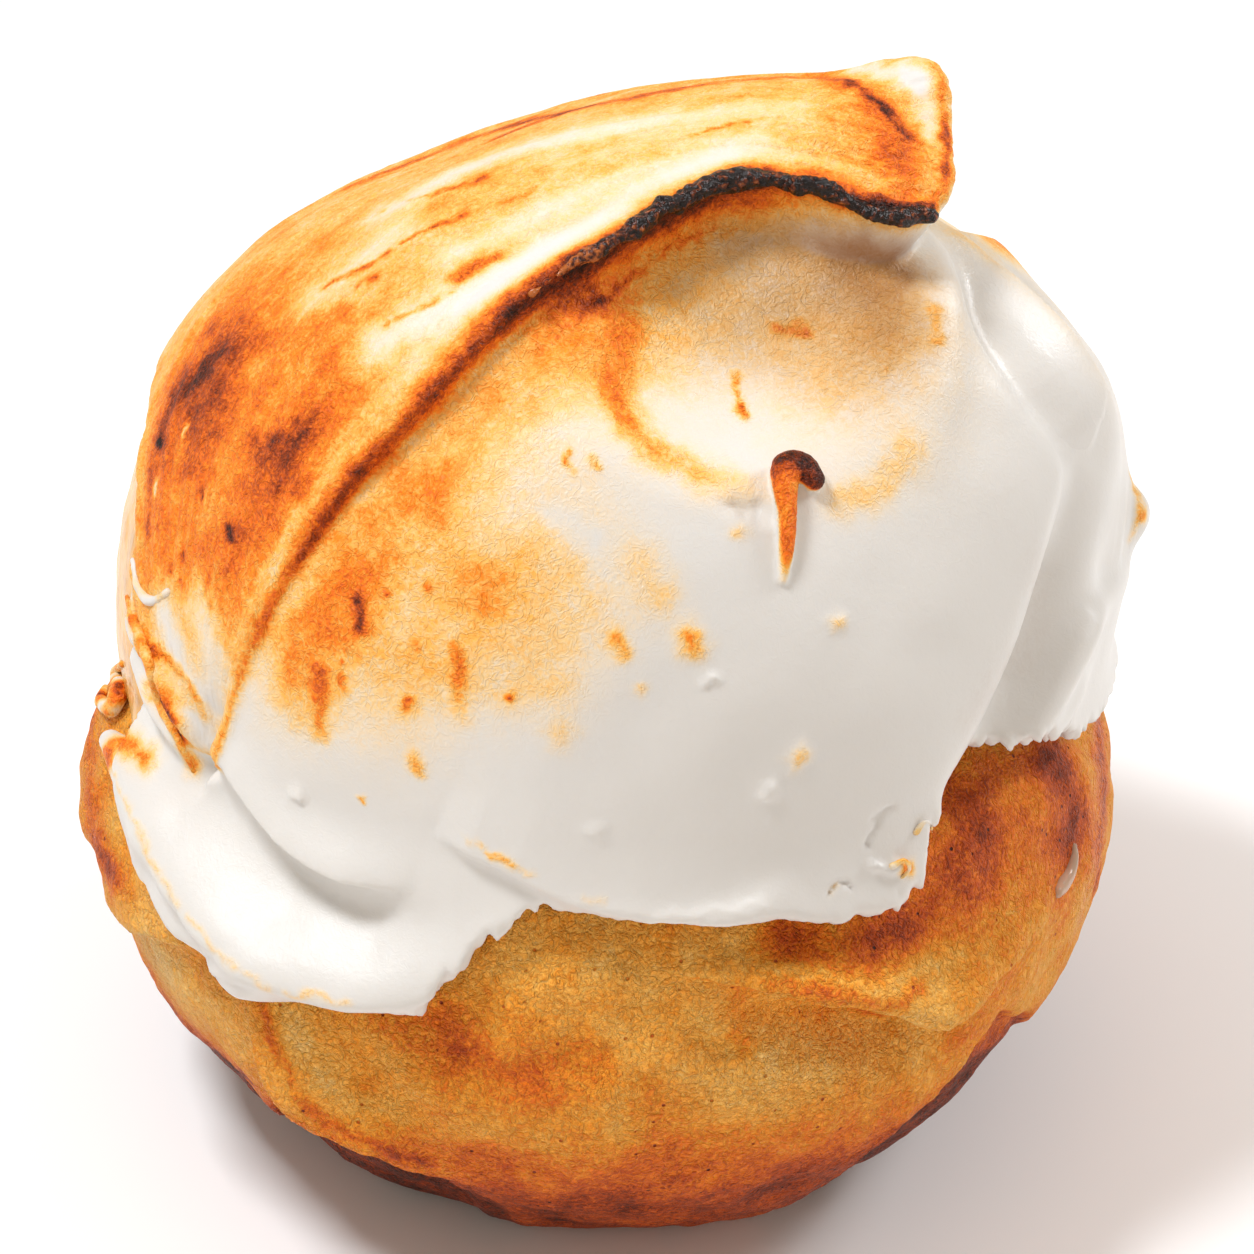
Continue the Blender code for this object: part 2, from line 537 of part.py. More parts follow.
def settle(field, points):
    """Move points onto the zero of the field."""
    for _ in range(SETTLING_STEPS):
        value = field(points)
        slope = np.stack([field(points + SLOPE_PROBE * axis) - value for axis in np.eye(3)], 1) / SLOPE_PROBE
        move = value[:, None] * slope / np.maximum((slope ** 2).sum(1), LEAST_SLOPE)[:, None]
        length = np.linalg.norm(move, axis=1)
        points = points - move * np.minimum(1, LARGEST_MOVE * CELL / np.maximum(length, SMALL))[:, None]
    return points


def finish(name):
    """Principled material of a piece."""
    colour, roughness = FINISHES[name]
    material = bpy.data.materials.new(name)
    material.use_nodes = True
    shader = material.node_tree.nodes["Principled BSDF"]
    shader.inputs["Base Color"].default_value = colour
    shader.inputs["Roughness"].default_value = roughness
    shader.inputs["Metallic"].default_value = 0.0
    return material


def build(name, field, low, high):
    """Object of one piece: its field meshed, then thinned to its number of triangles."""
    points, quads = surface(untangle(sample(field, np.array(low), np.array(high))), np.array(low))
    points = settle(field, points)
    points[:, 2] = np.where(points[:, 2] < CRUST_BASE_ROUNDING / 4, 0, points[:, 2])
    mesh = bpy.data.meshes.new(name)
    mesh.from_pydata((points * MILLIMETRE).tolist(), [], quads.tolist())
    mesh.shade_smooth()
    mesh.materials.append(finish(name))
    made = bpy.data.objects.new(name, mesh)
    bpy.context.scene.collection.objects.link(made)
    thin = made.modifiers.new("Thin", "DECIMATE")
    thin.ratio = TRIANGLES[name] / (2 * len(quads))
    return made


for old in list(bpy.data.objects):
    bpy.data.objects.remove(old)
build("crust", crust, (-45.0, -45.0, -3.0), (45.0, 45.0, 51.0))
build("lemon_filling", lemon_filling, (-45.0, -45.0, 24.0), (45.0, 45.0, 69.0))
build("meringue", meringue, (-48.0, -48.0, 18.0), (48.0, 48.0, 93.0))
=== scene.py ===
"""Looks of a small lemon meringue pie: baked pastry, lemon filling and torched meringue.

Shapes are sculpted as fields of signed distances, in millimetres, +Z up and the front towards -Y.
A direction is an azimuth, in degrees round from +X towards +Y, and a latitude above the horizon.
Marks that the photograph shows are placed by the pixel where they are seen in its 1254 x 1254 frame,
and land on the surface there. Meshes are in metres.
"""

import logging
import math
from dataclasses import dataclass, field
from enum import Enum
from typing import Callable, Iterable, Sequence

import bpy
import numpy as np
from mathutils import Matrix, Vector
from mathutils.bvhtree import BVHTree

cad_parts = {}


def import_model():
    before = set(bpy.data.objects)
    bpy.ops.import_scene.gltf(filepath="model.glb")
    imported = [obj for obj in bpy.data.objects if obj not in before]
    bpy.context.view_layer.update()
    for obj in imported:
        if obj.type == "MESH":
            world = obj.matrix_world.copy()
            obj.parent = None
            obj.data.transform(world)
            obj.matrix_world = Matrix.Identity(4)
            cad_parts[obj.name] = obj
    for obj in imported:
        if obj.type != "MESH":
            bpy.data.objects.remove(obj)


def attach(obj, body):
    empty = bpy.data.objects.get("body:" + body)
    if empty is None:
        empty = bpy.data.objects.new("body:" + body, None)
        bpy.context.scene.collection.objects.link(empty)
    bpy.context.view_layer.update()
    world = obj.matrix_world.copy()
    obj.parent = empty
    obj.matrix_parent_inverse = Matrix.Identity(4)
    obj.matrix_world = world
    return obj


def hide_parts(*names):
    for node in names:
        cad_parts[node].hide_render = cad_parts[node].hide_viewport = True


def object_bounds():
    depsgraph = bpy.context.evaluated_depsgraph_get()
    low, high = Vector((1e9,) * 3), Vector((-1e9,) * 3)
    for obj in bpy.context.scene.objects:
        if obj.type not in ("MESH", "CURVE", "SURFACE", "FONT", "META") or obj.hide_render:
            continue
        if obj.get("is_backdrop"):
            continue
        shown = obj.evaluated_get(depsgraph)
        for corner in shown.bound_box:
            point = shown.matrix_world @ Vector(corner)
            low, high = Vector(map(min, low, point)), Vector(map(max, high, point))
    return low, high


log = logging.getLogger("pie")

Array = np.ndarray
Field = Callable[[Array], Array]
Pair = tuple[float, float]  # A pixel, an azimuth and latitude, or an azimuth and the value there

MILLIMETRE = 0.001
SMALL = 1e-6
BACK = 90.0  # Azimuth that faces away from the camera
FULL_TURN = 360.0
CORNERS = np.array(list(np.ndindex(2, 2, 2)))  # Corners of a cube
OPPOSITE = 7  # What the numbers of two opposite corners of a cube add up to


class Slot(Enum):
    """Material slots, each named like the node that it finishes."""

    CRUST = "crust"
    FILLING = "lemon_filling"
    MERINGUE = "meringue"


class Seed(Enum):
    """Seed of each noise, so that no two are alike."""

    BAKED_BACK = 3
    BAKED_FRONT = 4
    CRUST_SWELLING = 11
    CRUST_LUMPS = 12
    CRUST_CRUMBS = 13
    TORN_EDGE = 21
    BROWN_CLOUDS = 31
    BROWN_PATCHES = 32
    LIP_RAG = 33
    DRAG_BROAD = 41
    DRAG_FINE = 42
    FOAM_LUMPS = 43
    TOASTED_GRAIN = 44
    WRINKLES = 45
    WRINKLE_BENDS = 46
    WRINKLE_GRAIN = 47
    FILLING_RIPPLE = 51
    CHAR_BUBBLES = 61
    CHAR_LUMPS = 62
    SCRAP_FLAKES = 64
    SCRAP_MOTTLE = 65
    RAG_X = 71
    RAG_Y = 72
    RAG_Z = 73


# Sculpting


def smooth_min(a: Array, b: Array, blend: float) -> Array:
    """Lesser of two fields, rounded over a width.

    Args:
        a: First field's values.
        b: Second field's values.
        blend: Width of the rounding.

    Returns:
        The blended values.
    """
    share = np.clip(0.5 + 0.5 * (b - a) / blend, 0, 1)
    return b + (a - b) * share - blend * share * (1 - share)


def smooth_max(a: Array, b: Array, blend: float) -> Array:
    """Greater of two fields, rounded over a width.

    Args:
        a: First field's values.
        b: Second field's values.
        blend: Width of the rounding.

    Returns:
        The blended values.
    """
    return -smooth_min(-a, -b, blend)


def step(values: Array, low: float, high: float) -> Array:
    """Smooth step from 0 at low to 1 at high.

    Args:
        values: Values to step.
        low: Value that gives 0.
        high: Value that gives 1; it may be below low.

    Returns:
        Shares from 0 to 1.
    """
    share = np.clip((values - low) / (high - low), 0, 1)
    return share * share * (3 - 2 * share)


def unit(azimuth: Array, latitude: Array) -> Array:
    """Unit vectors for angles in degrees.

    Args:
        azimuth: Degrees round from +X towards +Y.
        latitude: Degrees above the horizon.

    Returns:
        Rows of x, y and z.
    """
    azimuth, latitude = np.radians(azimuth), np.radians(latitude)
    level = np.cos(latitude)
    return np.stack([np.cos(azimuth) * level, np.sin(azimuth) * level, np.sin(latitude)], -1)


def angles(points: Array, middle: Array) -> tuple[Array, Array]:
    """Azimuth and latitude of points seen from a middle.

    Args:
        points: Rows of x, y and z.
        middle: Where they are seen from.

    Returns:
        Azimuths from 0 to 360 and latitudes, in degrees.
    """
    offset = points - middle
    azimuth = np.degrees(np.arctan2(offset[:, 1], offset[:, 0])) % 360
    return azimuth, np.degrees(np.arctan2(offset[:, 2], np.hypot(offset[:, 0], offset[:, 1])))


def smooth_path(rows: Sequence, count: int) -> Array:
    """Rows on a Catmull-Rom curve through the given rows.

    Args:
        rows: Rows of numbers of any one width.
        count: How many rows to return.

    Returns:
        Rows evenly spread between the given ones.
    """
    rows = np.array(rows, float)
    padded = np.vstack([2 * rows[0] - rows[1], rows, 2 * rows[-1] - rows[-2]])
    place = np.linspace(0, len(rows) - 1, count)
    i = np.minimum(place.astype(int), len(rows) - 2)
    t = (place - i)[:, None]
    a, b, c, d = (padded[i + n] for n in range(4))
    return b + 0.5 * t * (c - a + t * (2 * a - 5 * b + 4 * c - d + t * (3 * (b - c) + d - a)))


def around(azimuth: Array, points: Sequence[Pair]) -> Array:
    """Value at an azimuth on a closed smooth curve.

    Args:
        azimuth: Degrees from 0 to 360.
        points: Pairs of azimuth and value.

    Returns:
        The values.
    """
    at, value = np.array(sorted(points), float).T
    at = np.concatenate([at[-1:] - 360, at, at[:1] + 360])
    value = np.concatenate([value[-1:], value, value[:1]])
    i = np.clip(np.searchsorted(at, azimuth, side="right") - 1, 0, len(at) - 2)
    t = step((azimuth - at[i]) / (at[i + 1] - at[i]), 0, 1)
    return value[i] * (1 - t) + value[i + 1] * t


def behind(azimuth: Array, start: float, end: float = 70.0) -> Array:
    """How far directions face the back, which the photograph doesn't show.

    Args:
        azimuth: Degrees from 0 to 360.
        start: Degrees from the back where the front begins.
        end: Degrees from the back where it is all back.

    Returns:
        Shares from 0 to 1.
    """
    turn = np.minimum(np.abs(azimuth - BACK), np.abs(azimuth - (BACK + FULL_TURN)))
    return step(turn, start, end)


def ellipsoid(points: Array, middle: Sequence[float], radii: Sequence[float]) -> Array:
    """Approximate distance to an ellipsoid.

    Args:
        points: Rows of x, y and z.
        middle: Its middle.
        radii: Its three radii.

    Returns:
        Distances, negative inside.
    """
    offset = (points - np.array(middle)) / np.array(radii)
    size = np.linalg.norm(offset, axis=1)
    slope = np.linalg.norm(offset / np.array(radii), axis=1)
    return size * (size - 1) / np.maximum(slope, SMALL)


def along_path(points: Array, path: Array) -> tuple[Array, Array]:
    """Distance to a line of straight pieces, and how far along it the nearest place is.

    Args:
        points: Rows of x, y and z.
        path: Rows of x, y and z on the line.

    Returns:
        Distances, and shares of the way along from 0 to 1.
    """
    nearest, place = np.full(len(points), np.inf), np.zeros(len(points))
    for n, (start, end) in enumerate(zip(path[:-1], path[1:])):
        run = end - start
        t = np.clip((points - start) @ run / max(run @ run, SMALL), 0, 1)
        gap = np.linalg.norm(points - start - t[:, None] * run, axis=1)
        closer = gap < nearest
        nearest[closer] = gap[closer]
        place[closer] = (n + t[closer]) / (len(path) - 1)
    return nearest, place


def strand(points: Array, path: Array) -> Array:
    """Distance to a tapered round strand.

    Args:
        points: Rows of x, y and z.
        path: Rows of x, y, z and radius.

    Returns:
        Distances, negative inside.
    """
    gap, place = along_path(points, path[:, :3])
    return gap - np.interp(place, np.linspace(0, 1, len(path)), path[:, 3])


class Noise:
    """Smooth random values in space, the same ones each time."""

    table = 1024
    gain = 1.6

    def __init__(self, seed: Seed) -> None:
        """Draw the slopes.

        Args:
            seed: Which noise it is.
        """
        draw = np.random.default_rng(seed.value)
        self.order = draw.permutation(self.table)
        slopes = draw.normal(size=(self.table, 3))
        self.slopes = slopes / np.linalg.norm(slopes, axis=1)[:, None]

    def at(self, points: Array, size: float | Sequence[float]) -> Array:
        """Values at points.

        Args:
            points: Rows of three coordinates.
            size: Distance over which the values change, one or one for each axis.

        Returns:
            Values from about -1 to 1.
        """
        place = points / np.array(size)
        cell = np.floor(place).astype(int)
        part = place - cell
        fade = part ** 3 * (part * (part * 6 - 15) + 10)
        total = np.zeros(len(points))
        for corner in np.ndindex(2, 2, 2):
            x, y, z = ((cell + corner) % self.table).T
            slope = self.slopes[self.order[(self.order[(self.order[x] + y) % self.table] + z) % self.table]]
            share = np.prod(np.where(corner, fade, 1 - fade), axis=1)
            total += share * np.einsum("ij,ij->i", slope, part - corner)
        return self.gain * total


def layered(points: Array, layers: Iterable[tuple]) -> Array:
    """Sum of noises.

    Args:
        points: Rows of three coordinates.
        layers: Seed, size and strength of each.

    Returns:
        The sums.
    """
    return sum(strength * Noise(seed).at(points, size) for seed, size, strength in layers)


@dataclass(frozen=True)
class Stroke:
    """Raised or sunken line over a piece: its points, heights along it and fall-off each side."""

    points: Sequence[Pair]
    heights: Sequence[float]
    left: float
    right: float


@dataclass(frozen=True)
class Swell:
    """Raised or sunken round spot over a piece."""

    azimuth: float
    latitude: float
    size: float
    height: float


class Relief:
    """Heights over every direction from the middle of a piece, held by azimuth and latitude."""

    spacing = 0.25
    lowest = -60
    radius = 40.0
    reach = 2.6
    outline_reach = 15.0
    pieces = 4

    def __init__(self, strokes: Iterable[Stroke] = (), swells: Iterable[Swell] = ()) -> None:
        """Raise strokes and swells.

        Args:
            strokes: Lines to raise or sink.
            swells: Spots to raise or sink.
        """
        azimuths = np.arange(0, 360 + self.spacing / 2, self.spacing)
        latitudes = np.arange(self.lowest, 90 + self.spacing / 2, self.spacing)
        azimuth, latitude = np.meshgrid(azimuths, latitudes, indexing="ij")
        self.shape = azimuth.shape
        self.vectors = unit(azimuth.ravel(), latitude.ravel())
        self.heights = np.zeros(len(self.vectors))
        for stroke in strokes:
            self.add_stroke(stroke)
        for swell in swells:
            self.add_swell(swell)

    def nearest(self, path: Array, reach: float) -> tuple[Array, Array, Array, Array]:
        """Directions near a path.

        Args:
            path: Unit vectors along it.
            reach: Largest distance that matters, in millimetres at the radius.

        Returns:
            Their numbers, distances, sides (left above 0) and shares of the way along.
        """
        middle = path.mean(0) / np.linalg.norm(path.mean(0))
        span = np.arccos(np.clip(path @ middle, -1, 1)).max() + reach / self.radius
        near = np.flatnonzero(self.vectors @ middle > np.cos(min(span, np.pi)))
        vectors = self.vectors[near]
        least = np.full(len(near), np.inf)
        side, place = np.zeros(len(near)), np.zeros(len(near))
        for n, (start, end) in enumerate(zip(path[:-1], path[1:])):
            run = end - start
            t = np.clip((vectors - start) @ run / (run @ run), 0, 1)
            gap = np.linalg.norm(vectors - start - t[:, None] * run, axis=1)
            closer = gap < least
            least[closer] = gap[closer]
            side[closer] = vectors[closer] @ np.cross(start, end)
            place[closer] = (n + t[closer]) / (len(path) - 1)
        return near, least * self.radius, side, place

    def add_stroke(self, stroke: Stroke) -> None:
        """Raise or sink a line, with its own fall-off on each side.

        Args:
            stroke: The line.
        """
        turns = unit(*np.array(stroke.points, float).T)
        path = smooth_path(turns, self.pieces * (len(turns) - 1) + 1)
        path /= np.linalg.norm(path, axis=1)[:, None]
        near, distance, side, place = self.nearest(path, self.reach * max(stroke.left, stroke.right))
        width = np.where(side > 0, stroke.left, stroke.right)
        height = np.interp(place, np.linspace(0, 1, len(stroke.heights)), stroke.heights)
        self.heights[near] += height * np.exp(-(distance / width) ** 2)

    def add_swell(self, swell: Swell) -> None:
        """Raise or sink a round spot.

        Args:
            swell: The spot.
        """
        facing = self.vectors @ unit(swell.azimuth, swell.latitude)
        distance = np.arccos(np.clip(facing, -1, 1)) * self.radius
        self.heights += swell.height * np.exp(-(distance / swell.size) ** 2)

    def set_inside(self, points: Sequence[Pair]) -> None:
        """Set each height to its distance inside a closed outline, negative outside.

        Args:
            points: Azimuths and latitudes round the outline.
        """
        corners = unit(*np.array(points, float).T)
        turns = np.vstack([corners[-2:], corners, corners[:3]])
        path = smooth_path(turns, self.pieces * (len(turns) - 1) + 1)
        path = path[2 * self.pieces:self.pieces * (len(corners) + 2) + 1]
        path /= np.linalg.norm(path, axis=1)[:, None]
        near, distance, _, _ = self.nearest(path, self.outline_reach)
        middle = path.mean(0) / np.linalg.norm(path.mean(0))
        east = np.cross([0.0, 0.0, 1.0], middle)
        east /= np.linalg.norm(east)
        north = np.cross(middle, east)

        def flat(vectors: Array) -> Array:
            """Vectors as points on a flat map round the middle."""
            angle = np.arccos(np.clip(vectors @ middle, -1, 1))
            level = np.stack([vectors @ east, vectors @ north], 1)
            return level * (angle / np.maximum(np.linalg.norm(level, axis=1), SMALL))[:, None]

        outline, spots = flat(path), flat(self.vectors[near])
        inside = np.zeros(len(spots), bool)
        for (x0, y0), (x1, y1) in zip(outline[:-1], outline[1:]):
            if y0 != y1:
                between = (y0 > spots[:, 1]) != (y1 > spots[:, 1])
                inside ^= between & (spots[:, 0] < x0 + (spots[:, 1] - y0) * (x1 - x0) / (y1 - y0))
        self.heights[:] = -self.outline_reach
        self.heights[near] = np.where(inside, 1, -1) * np.minimum(distance, self.outline_reach)

    def at(self, azimuth: Array, latitude: Array) -> Array:
        """Height at any direction, blended from the four held around it.

        Args:
            azimuth: Degrees from 0 to 360.
            latitude: Degrees above the horizon.

        Returns:
            The heights.
        """
        heights = self.heights.reshape(self.shape)
        u = np.clip(azimuth / self.spacing, 0, self.shape[0] - 1.001)
        v = np.clip((latitude - self.lowest) / self.spacing, 0, self.shape[1] - 1.001)
        i, j = u.astype(int), v.astype(int)
        u, v = u - i, v - j
        low = heights[i, j] * (1 - u) + heights[i + 1, j] * u
        high = heights[i, j + 1] * (1 - u) + heights[i + 1, j + 1] * u
        return low * (1 - v) + high * v


@dataclass(frozen=True)
class Mesher:
    """Turns the zero of a field into a closed mesh of quads."""

    cell: float
    halvings: int = 2
    refined_cells: float = 2.2
    nudge: float = 0.001
    probe: float = 0.1
    least_slope: float = 0.1
    largest_move: float = 0.4

    def sample(self, shape: Field, low: Array, high: Array) -> Array:
        """Field values on a grid: coarse first, then finer and finer near the surface.

        Args:
            shape: The field.
            low: Lowest corner of the grid.
            high: Highest corner of the grid.

        Returns:
            Values on the finest grid.
        """
        spacing = self.cell * 2 ** self.halvings
        counts = np.ceil((high - low) / spacing).astype(int) + 1
        grid = np.stack(np.meshgrid(*(np.arange(n) for n in counts), indexing="ij"), -1)
        values = shape(low + spacing * grid.reshape(-1, 3)).reshape(counts).astype(np.float32)
        for _ in range(self.halvings):
            for axis in range(3):
                values = np.moveaxis(values, axis, 0)
                finer = np.empty((2 * len(values) - 1,) + values.shape[1:], np.float32)
                finer[::2] = values
                finer[1::2] = (values[:-1] + values[1:]) / 2
                values = np.moveaxis(finer, 0, axis)
            near = np.argwhere(np.abs(values) < self.refined_cells * spacing)
            spacing /= 2
            values[tuple(near.T)] = shape(low + spacing * near)
        return np.ascontiguousarray(values)

    def untangle(self, values: Array) -> Array:
        """Fill samples where the surface would touch itself, across a square or a cube.

        Args:
            values: Values on a grid, changed in place.

        Returns:
            The same values.
        """
        changed = True
        while changed:
            changed = False
            for axis in range(3):
                steps = np.delete(np.eye(3, dtype=int), axis, 0)
                square = [0 * steps[0], steps[0], steps[0] + steps[1], steps[1]]
                sizes = np.array(values.shape) - steps.sum(0)
                a, b, c, d = (values[tuple(slice(s, s + n) for s, n in zip(to, sizes))] < 0 for to in square)
                for place in np.argwhere((a == c) & (b == d) & (a != b)):
                    corners = [tuple(place + to) for to in square]
                    inside = [values[corner] < 0 for corner in corners]
                    if inside[0] == inside[2] and inside[1] == inside[3] and inside[0] != inside[1]:
                        outside = [corner for corner in corners if not values[corner] < 0]
                        self.fill_nearest(values, outside)
                        changed = True
            count = self.count_inside(values)
            for place in np.argwhere((count == 2) | (count == 6)):
                inside = np.array([values[tuple(place + to)] < 0 for to in CORNERS])
                alone = np.flatnonzero(inside == (inside.sum() == 2))
                if alone.sum() == OPPOSITE and len(alone) == 2:
                    self.fill_nearest(values, [tuple(place + to) for to in CORNERS[~inside]])
                    changed = True
        return values

    def fill_nearest(self, values: Array, outside: list[tuple]) -> None:
        """Fill whichever of some samples outside the surface is nearest to it."""
        values[min(outside, key=lambda corner: values[corner])] = -self.nudge

    def count_inside(self, values: Array) -> Array:
        """Number of corners inside the surface for each cell of a grid."""
        inside = (values < 0).view(np.int8)
        sizes = np.array(values.shape) - 1
        return sum(inside[tuple(slice(c, c + n) for c, n in zip(to, sizes))] for to in CORNERS)

    def surface(self, values: Array, low: Array) -> tuple[Array, Array]:
        """Quads round the zero of sampled values, one point for each cell that it crosses.

        Args:
            values: Values on a grid.
            low: Lowest corner of the grid.

        Returns:
            Points, and rows of four point numbers.
        """
        inside = values < 0
        count = self.count_inside(values)
        cells = np.argwhere((count > 0) & (count < 8))
        number = np.full(count.shape, -1, np.int32)
        number[tuple(cells.T)] = np.arange(len(cells))
        held = [values[tuple((cells + corner).T)].astype(float) for corner in CORNERS]
        total, crossings = np.zeros((len(cells), 3)), np.zeros(len(cells))
        for m, first in enumerate(CORNERS):
            for n, second in enumerate(CORNERS):
                if n > m and np.abs(first - second).sum() == 1:
                    crossed = (held[m] < 0) != (held[n] < 0)
                    share = held[m] / np.where(crossed, held[m] - held[n], 1)
                    total += crossed[:, None] * (first + share[:, None] * (second - first))
                    crossings += crossed
        points = low + self.cell * (cells + total / crossings[:, None])
        quads = []
        for axis in range(3):
            second, third = np.eye(3, dtype=int)[[(axis + 1) % 3, (axis + 2) % 3]]
            here = inside[tuple(slice(0, -1) if a == axis else slice(1, -1) for a in range(3))]
            there = inside[tuple(slice(1, None) if a == axis else slice(1, -1) for a in range(3))]
            edges = np.argwhere(here != there) + second + third
            ring = [number[tuple((edges - to).T)] for to in (0 * second, second, second + third, third)]
            ring = np.stack(ring, 1)
            outward = inside[tuple(edges.T)]
            ring[~outward] = ring[~outward][:, ::-1]
            quads.append(ring)
        return points, np.concatenate(quads)

    def settle(self, shape: Field, points: Array) -> Array:
        """Points moved onto the zero of a field.

        Args:
            shape: The field.
            points: Points near its surface.

        Returns:
            Points on it.
        """
        value = shape(points)
        slope = np.stack([shape(points + self.probe * axis) - value for axis in np.eye(3)], 1) / self.probe
        move = value[:, None] * slope / np.maximum((slope ** 2).sum(1), self.least_slope)[:, None]
        length = np.linalg.norm(move, axis=1)
        share = np.minimum(1, self.largest_move * self.cell / np.maximum(length, SMALL))
        return points - move * share[:, None]

    def mesh(self, shape: Field, low: Sequence[float], high: Sequence[float]) -> tuple[Array, Array]:
        """Closed mesh of a field's zero.

        Args:
            shape: The field.
            low: Lowest corner of a box round it.
            high: Highest corner of that box.

        Returns:
            Points, and rows of four point numbers.
        """
        low, high = np.array(low, float), np.array(high, float)
        points, quads = self.surface(self.untangle(self.sample(shape, low, high)), low)
        return self.settle(shape, points), quads


def make_object(name: str, points: Array, faces: Array) -> bpy.types.Object:
    """Smooth-shaded mesh object in the scene.

    Args:
        name: Its name.
        points: Rows of x, y and z, in millimetres.
        faces: Rows of point numbers.

    Returns:
        The object.
    """
    mesh = bpy.data.meshes.new(name)
    mesh.vertices.add(len(points))
    mesh.vertices.foreach_set("co", (points * MILLIMETRE).ravel())
    mesh.loops.add(faces.size)
    mesh.loops.foreach_set("vertex_index", faces.ravel())
    mesh.polygons.add(len(faces))
    mesh.polygons.foreach_set("loop_start", np.arange(len(faces)) * faces.shape[1])
    mesh.update(calc_edges=True)
    mesh.shade_smooth()
    made = bpy.data.objects.new(name, mesh)
    bpy.context.scene.collection.objects.link(made)
    return made


def thin(made: bpy.types.Object, where: Array, keep: float) -> Array:
    """Thin the faces of an object where asked, and leave the rest as it is.

    Args:
        made: The object.
        where: True for each point that may go.
        keep: Share of those points' faces that stays.

    Returns:
        The new points, in millimetres.
    """
    group = made.vertex_groups.new(name="thin")
    group.add(np.flatnonzero(where).tolist(), 1.0, "REPLACE")
    decimate = made.modifiers.new("Thin", "DECIMATE")
    decimate.vertex_group = "thin"
    decimate.ratio = 1 - (1 - keep) * where.mean()
    graph = bpy.context.evaluated_depsgraph_get()
    mesh = bpy.data.meshes.new_from_object(made.evaluated_get(graph))
    made.modifiers.clear()
    made.vertex_groups.clear()
    made.data = mesh
    return read_points(made)


def read_points(made: bpy.types.Object) -> Array:
    """Points of an object's mesh, in millimetres."""
    points = np.empty(3 * len(made.data.vertices))
    made.data.vertices.foreach_get("co", points)
    return points.reshape(-1, 3) / MILLIMETRE


def write_points(made: bpy.types.Object, points: Array) -> None:
    """Move the points of an object's mesh, given in millimetres."""
    made.data.vertices.foreach_set("co", (points * MILLIMETRE).ravel())
    made.data.update()


def read_normals(made: bpy.types.Object) -> Array:
    """Smooth normals at the points of an object's mesh."""
    normals = np.empty(3 * len(made.data.vertices))
    made.data.vertex_normals.foreach_get("vector", normals)
    return normals.reshape(-1, 3)


def write_values(made: bpy.types.Object, **values: Array) -> None:
    """Store one number at each point under each name, for the materials."""
    for name, numbers in values.items():
        made.data.attributes.new(name, "FLOAT", "POINT").data.foreach_set("value", numbers)


# Placing by what the photograph shows


@dataclass(frozen=True)
class Viewpoint:
    """Camera at the photograph's viewing angle, and the rays through its pixels."""

    side: float = 1254.0
    pixels_per_mm: float = 12.54
    elevation: float = 30.0
    aim: tuple[float, float, float] = (2.15, 0.0, 41.3)
    distance: float = 350.0
    sensor: float = 36.0
    nearest: float = 0.01

    @property
    def forward(self) -> Array:
        """Direction in which the camera looks."""
        tilt = math.radians(self.elevation)
        return np.array([0.0, math.cos(tilt), -math.sin(tilt)])

    @property
    def place(self) -> Array:
        """Where the camera stands, in millimetres."""
        return np.array(self.aim) - self.distance * self.forward

    def ray(self, x: float, y: float) -> Array:
        """Unit vector from the camera through a pixel."""
        up = np.cross([1.0, 0.0, 0.0], self.forward)
        away = self.pixels_per_mm * self.distance * self.forward
        away = away + (x - self.side / 2) * np.array([1.0, 0.0, 0.0]) + (self.side / 2 - y) * up
        return away / np.linalg.norm(away)

    def make(self) -> None:
        """Make the scene's camera."""
        data = bpy.data.cameras.new("camera")
        data.sensor_width = self.sensor
        data.lens = self.sensor * self.pixels_per_mm * self.distance / self.side
        data.clip_start = self.nearest
        camera = bpy.data.objects.new("camera", data)
        camera.location = self.place * MILLIMETRE
        camera.rotation_euler = Vector(self.forward).to_track_quat("-Z", "Y").to_euler()
        bpy.context.scene.collection.objects.link(camera)
        bpy.context.scene.camera = camera


@dataclass(frozen=True)
class Mark:
    """Spot or line on a surface, placed by pixels: its width in pixels and strength along it."""

    path: Sequence[Pair]
    width: float
    strength: float | Sequence[float]


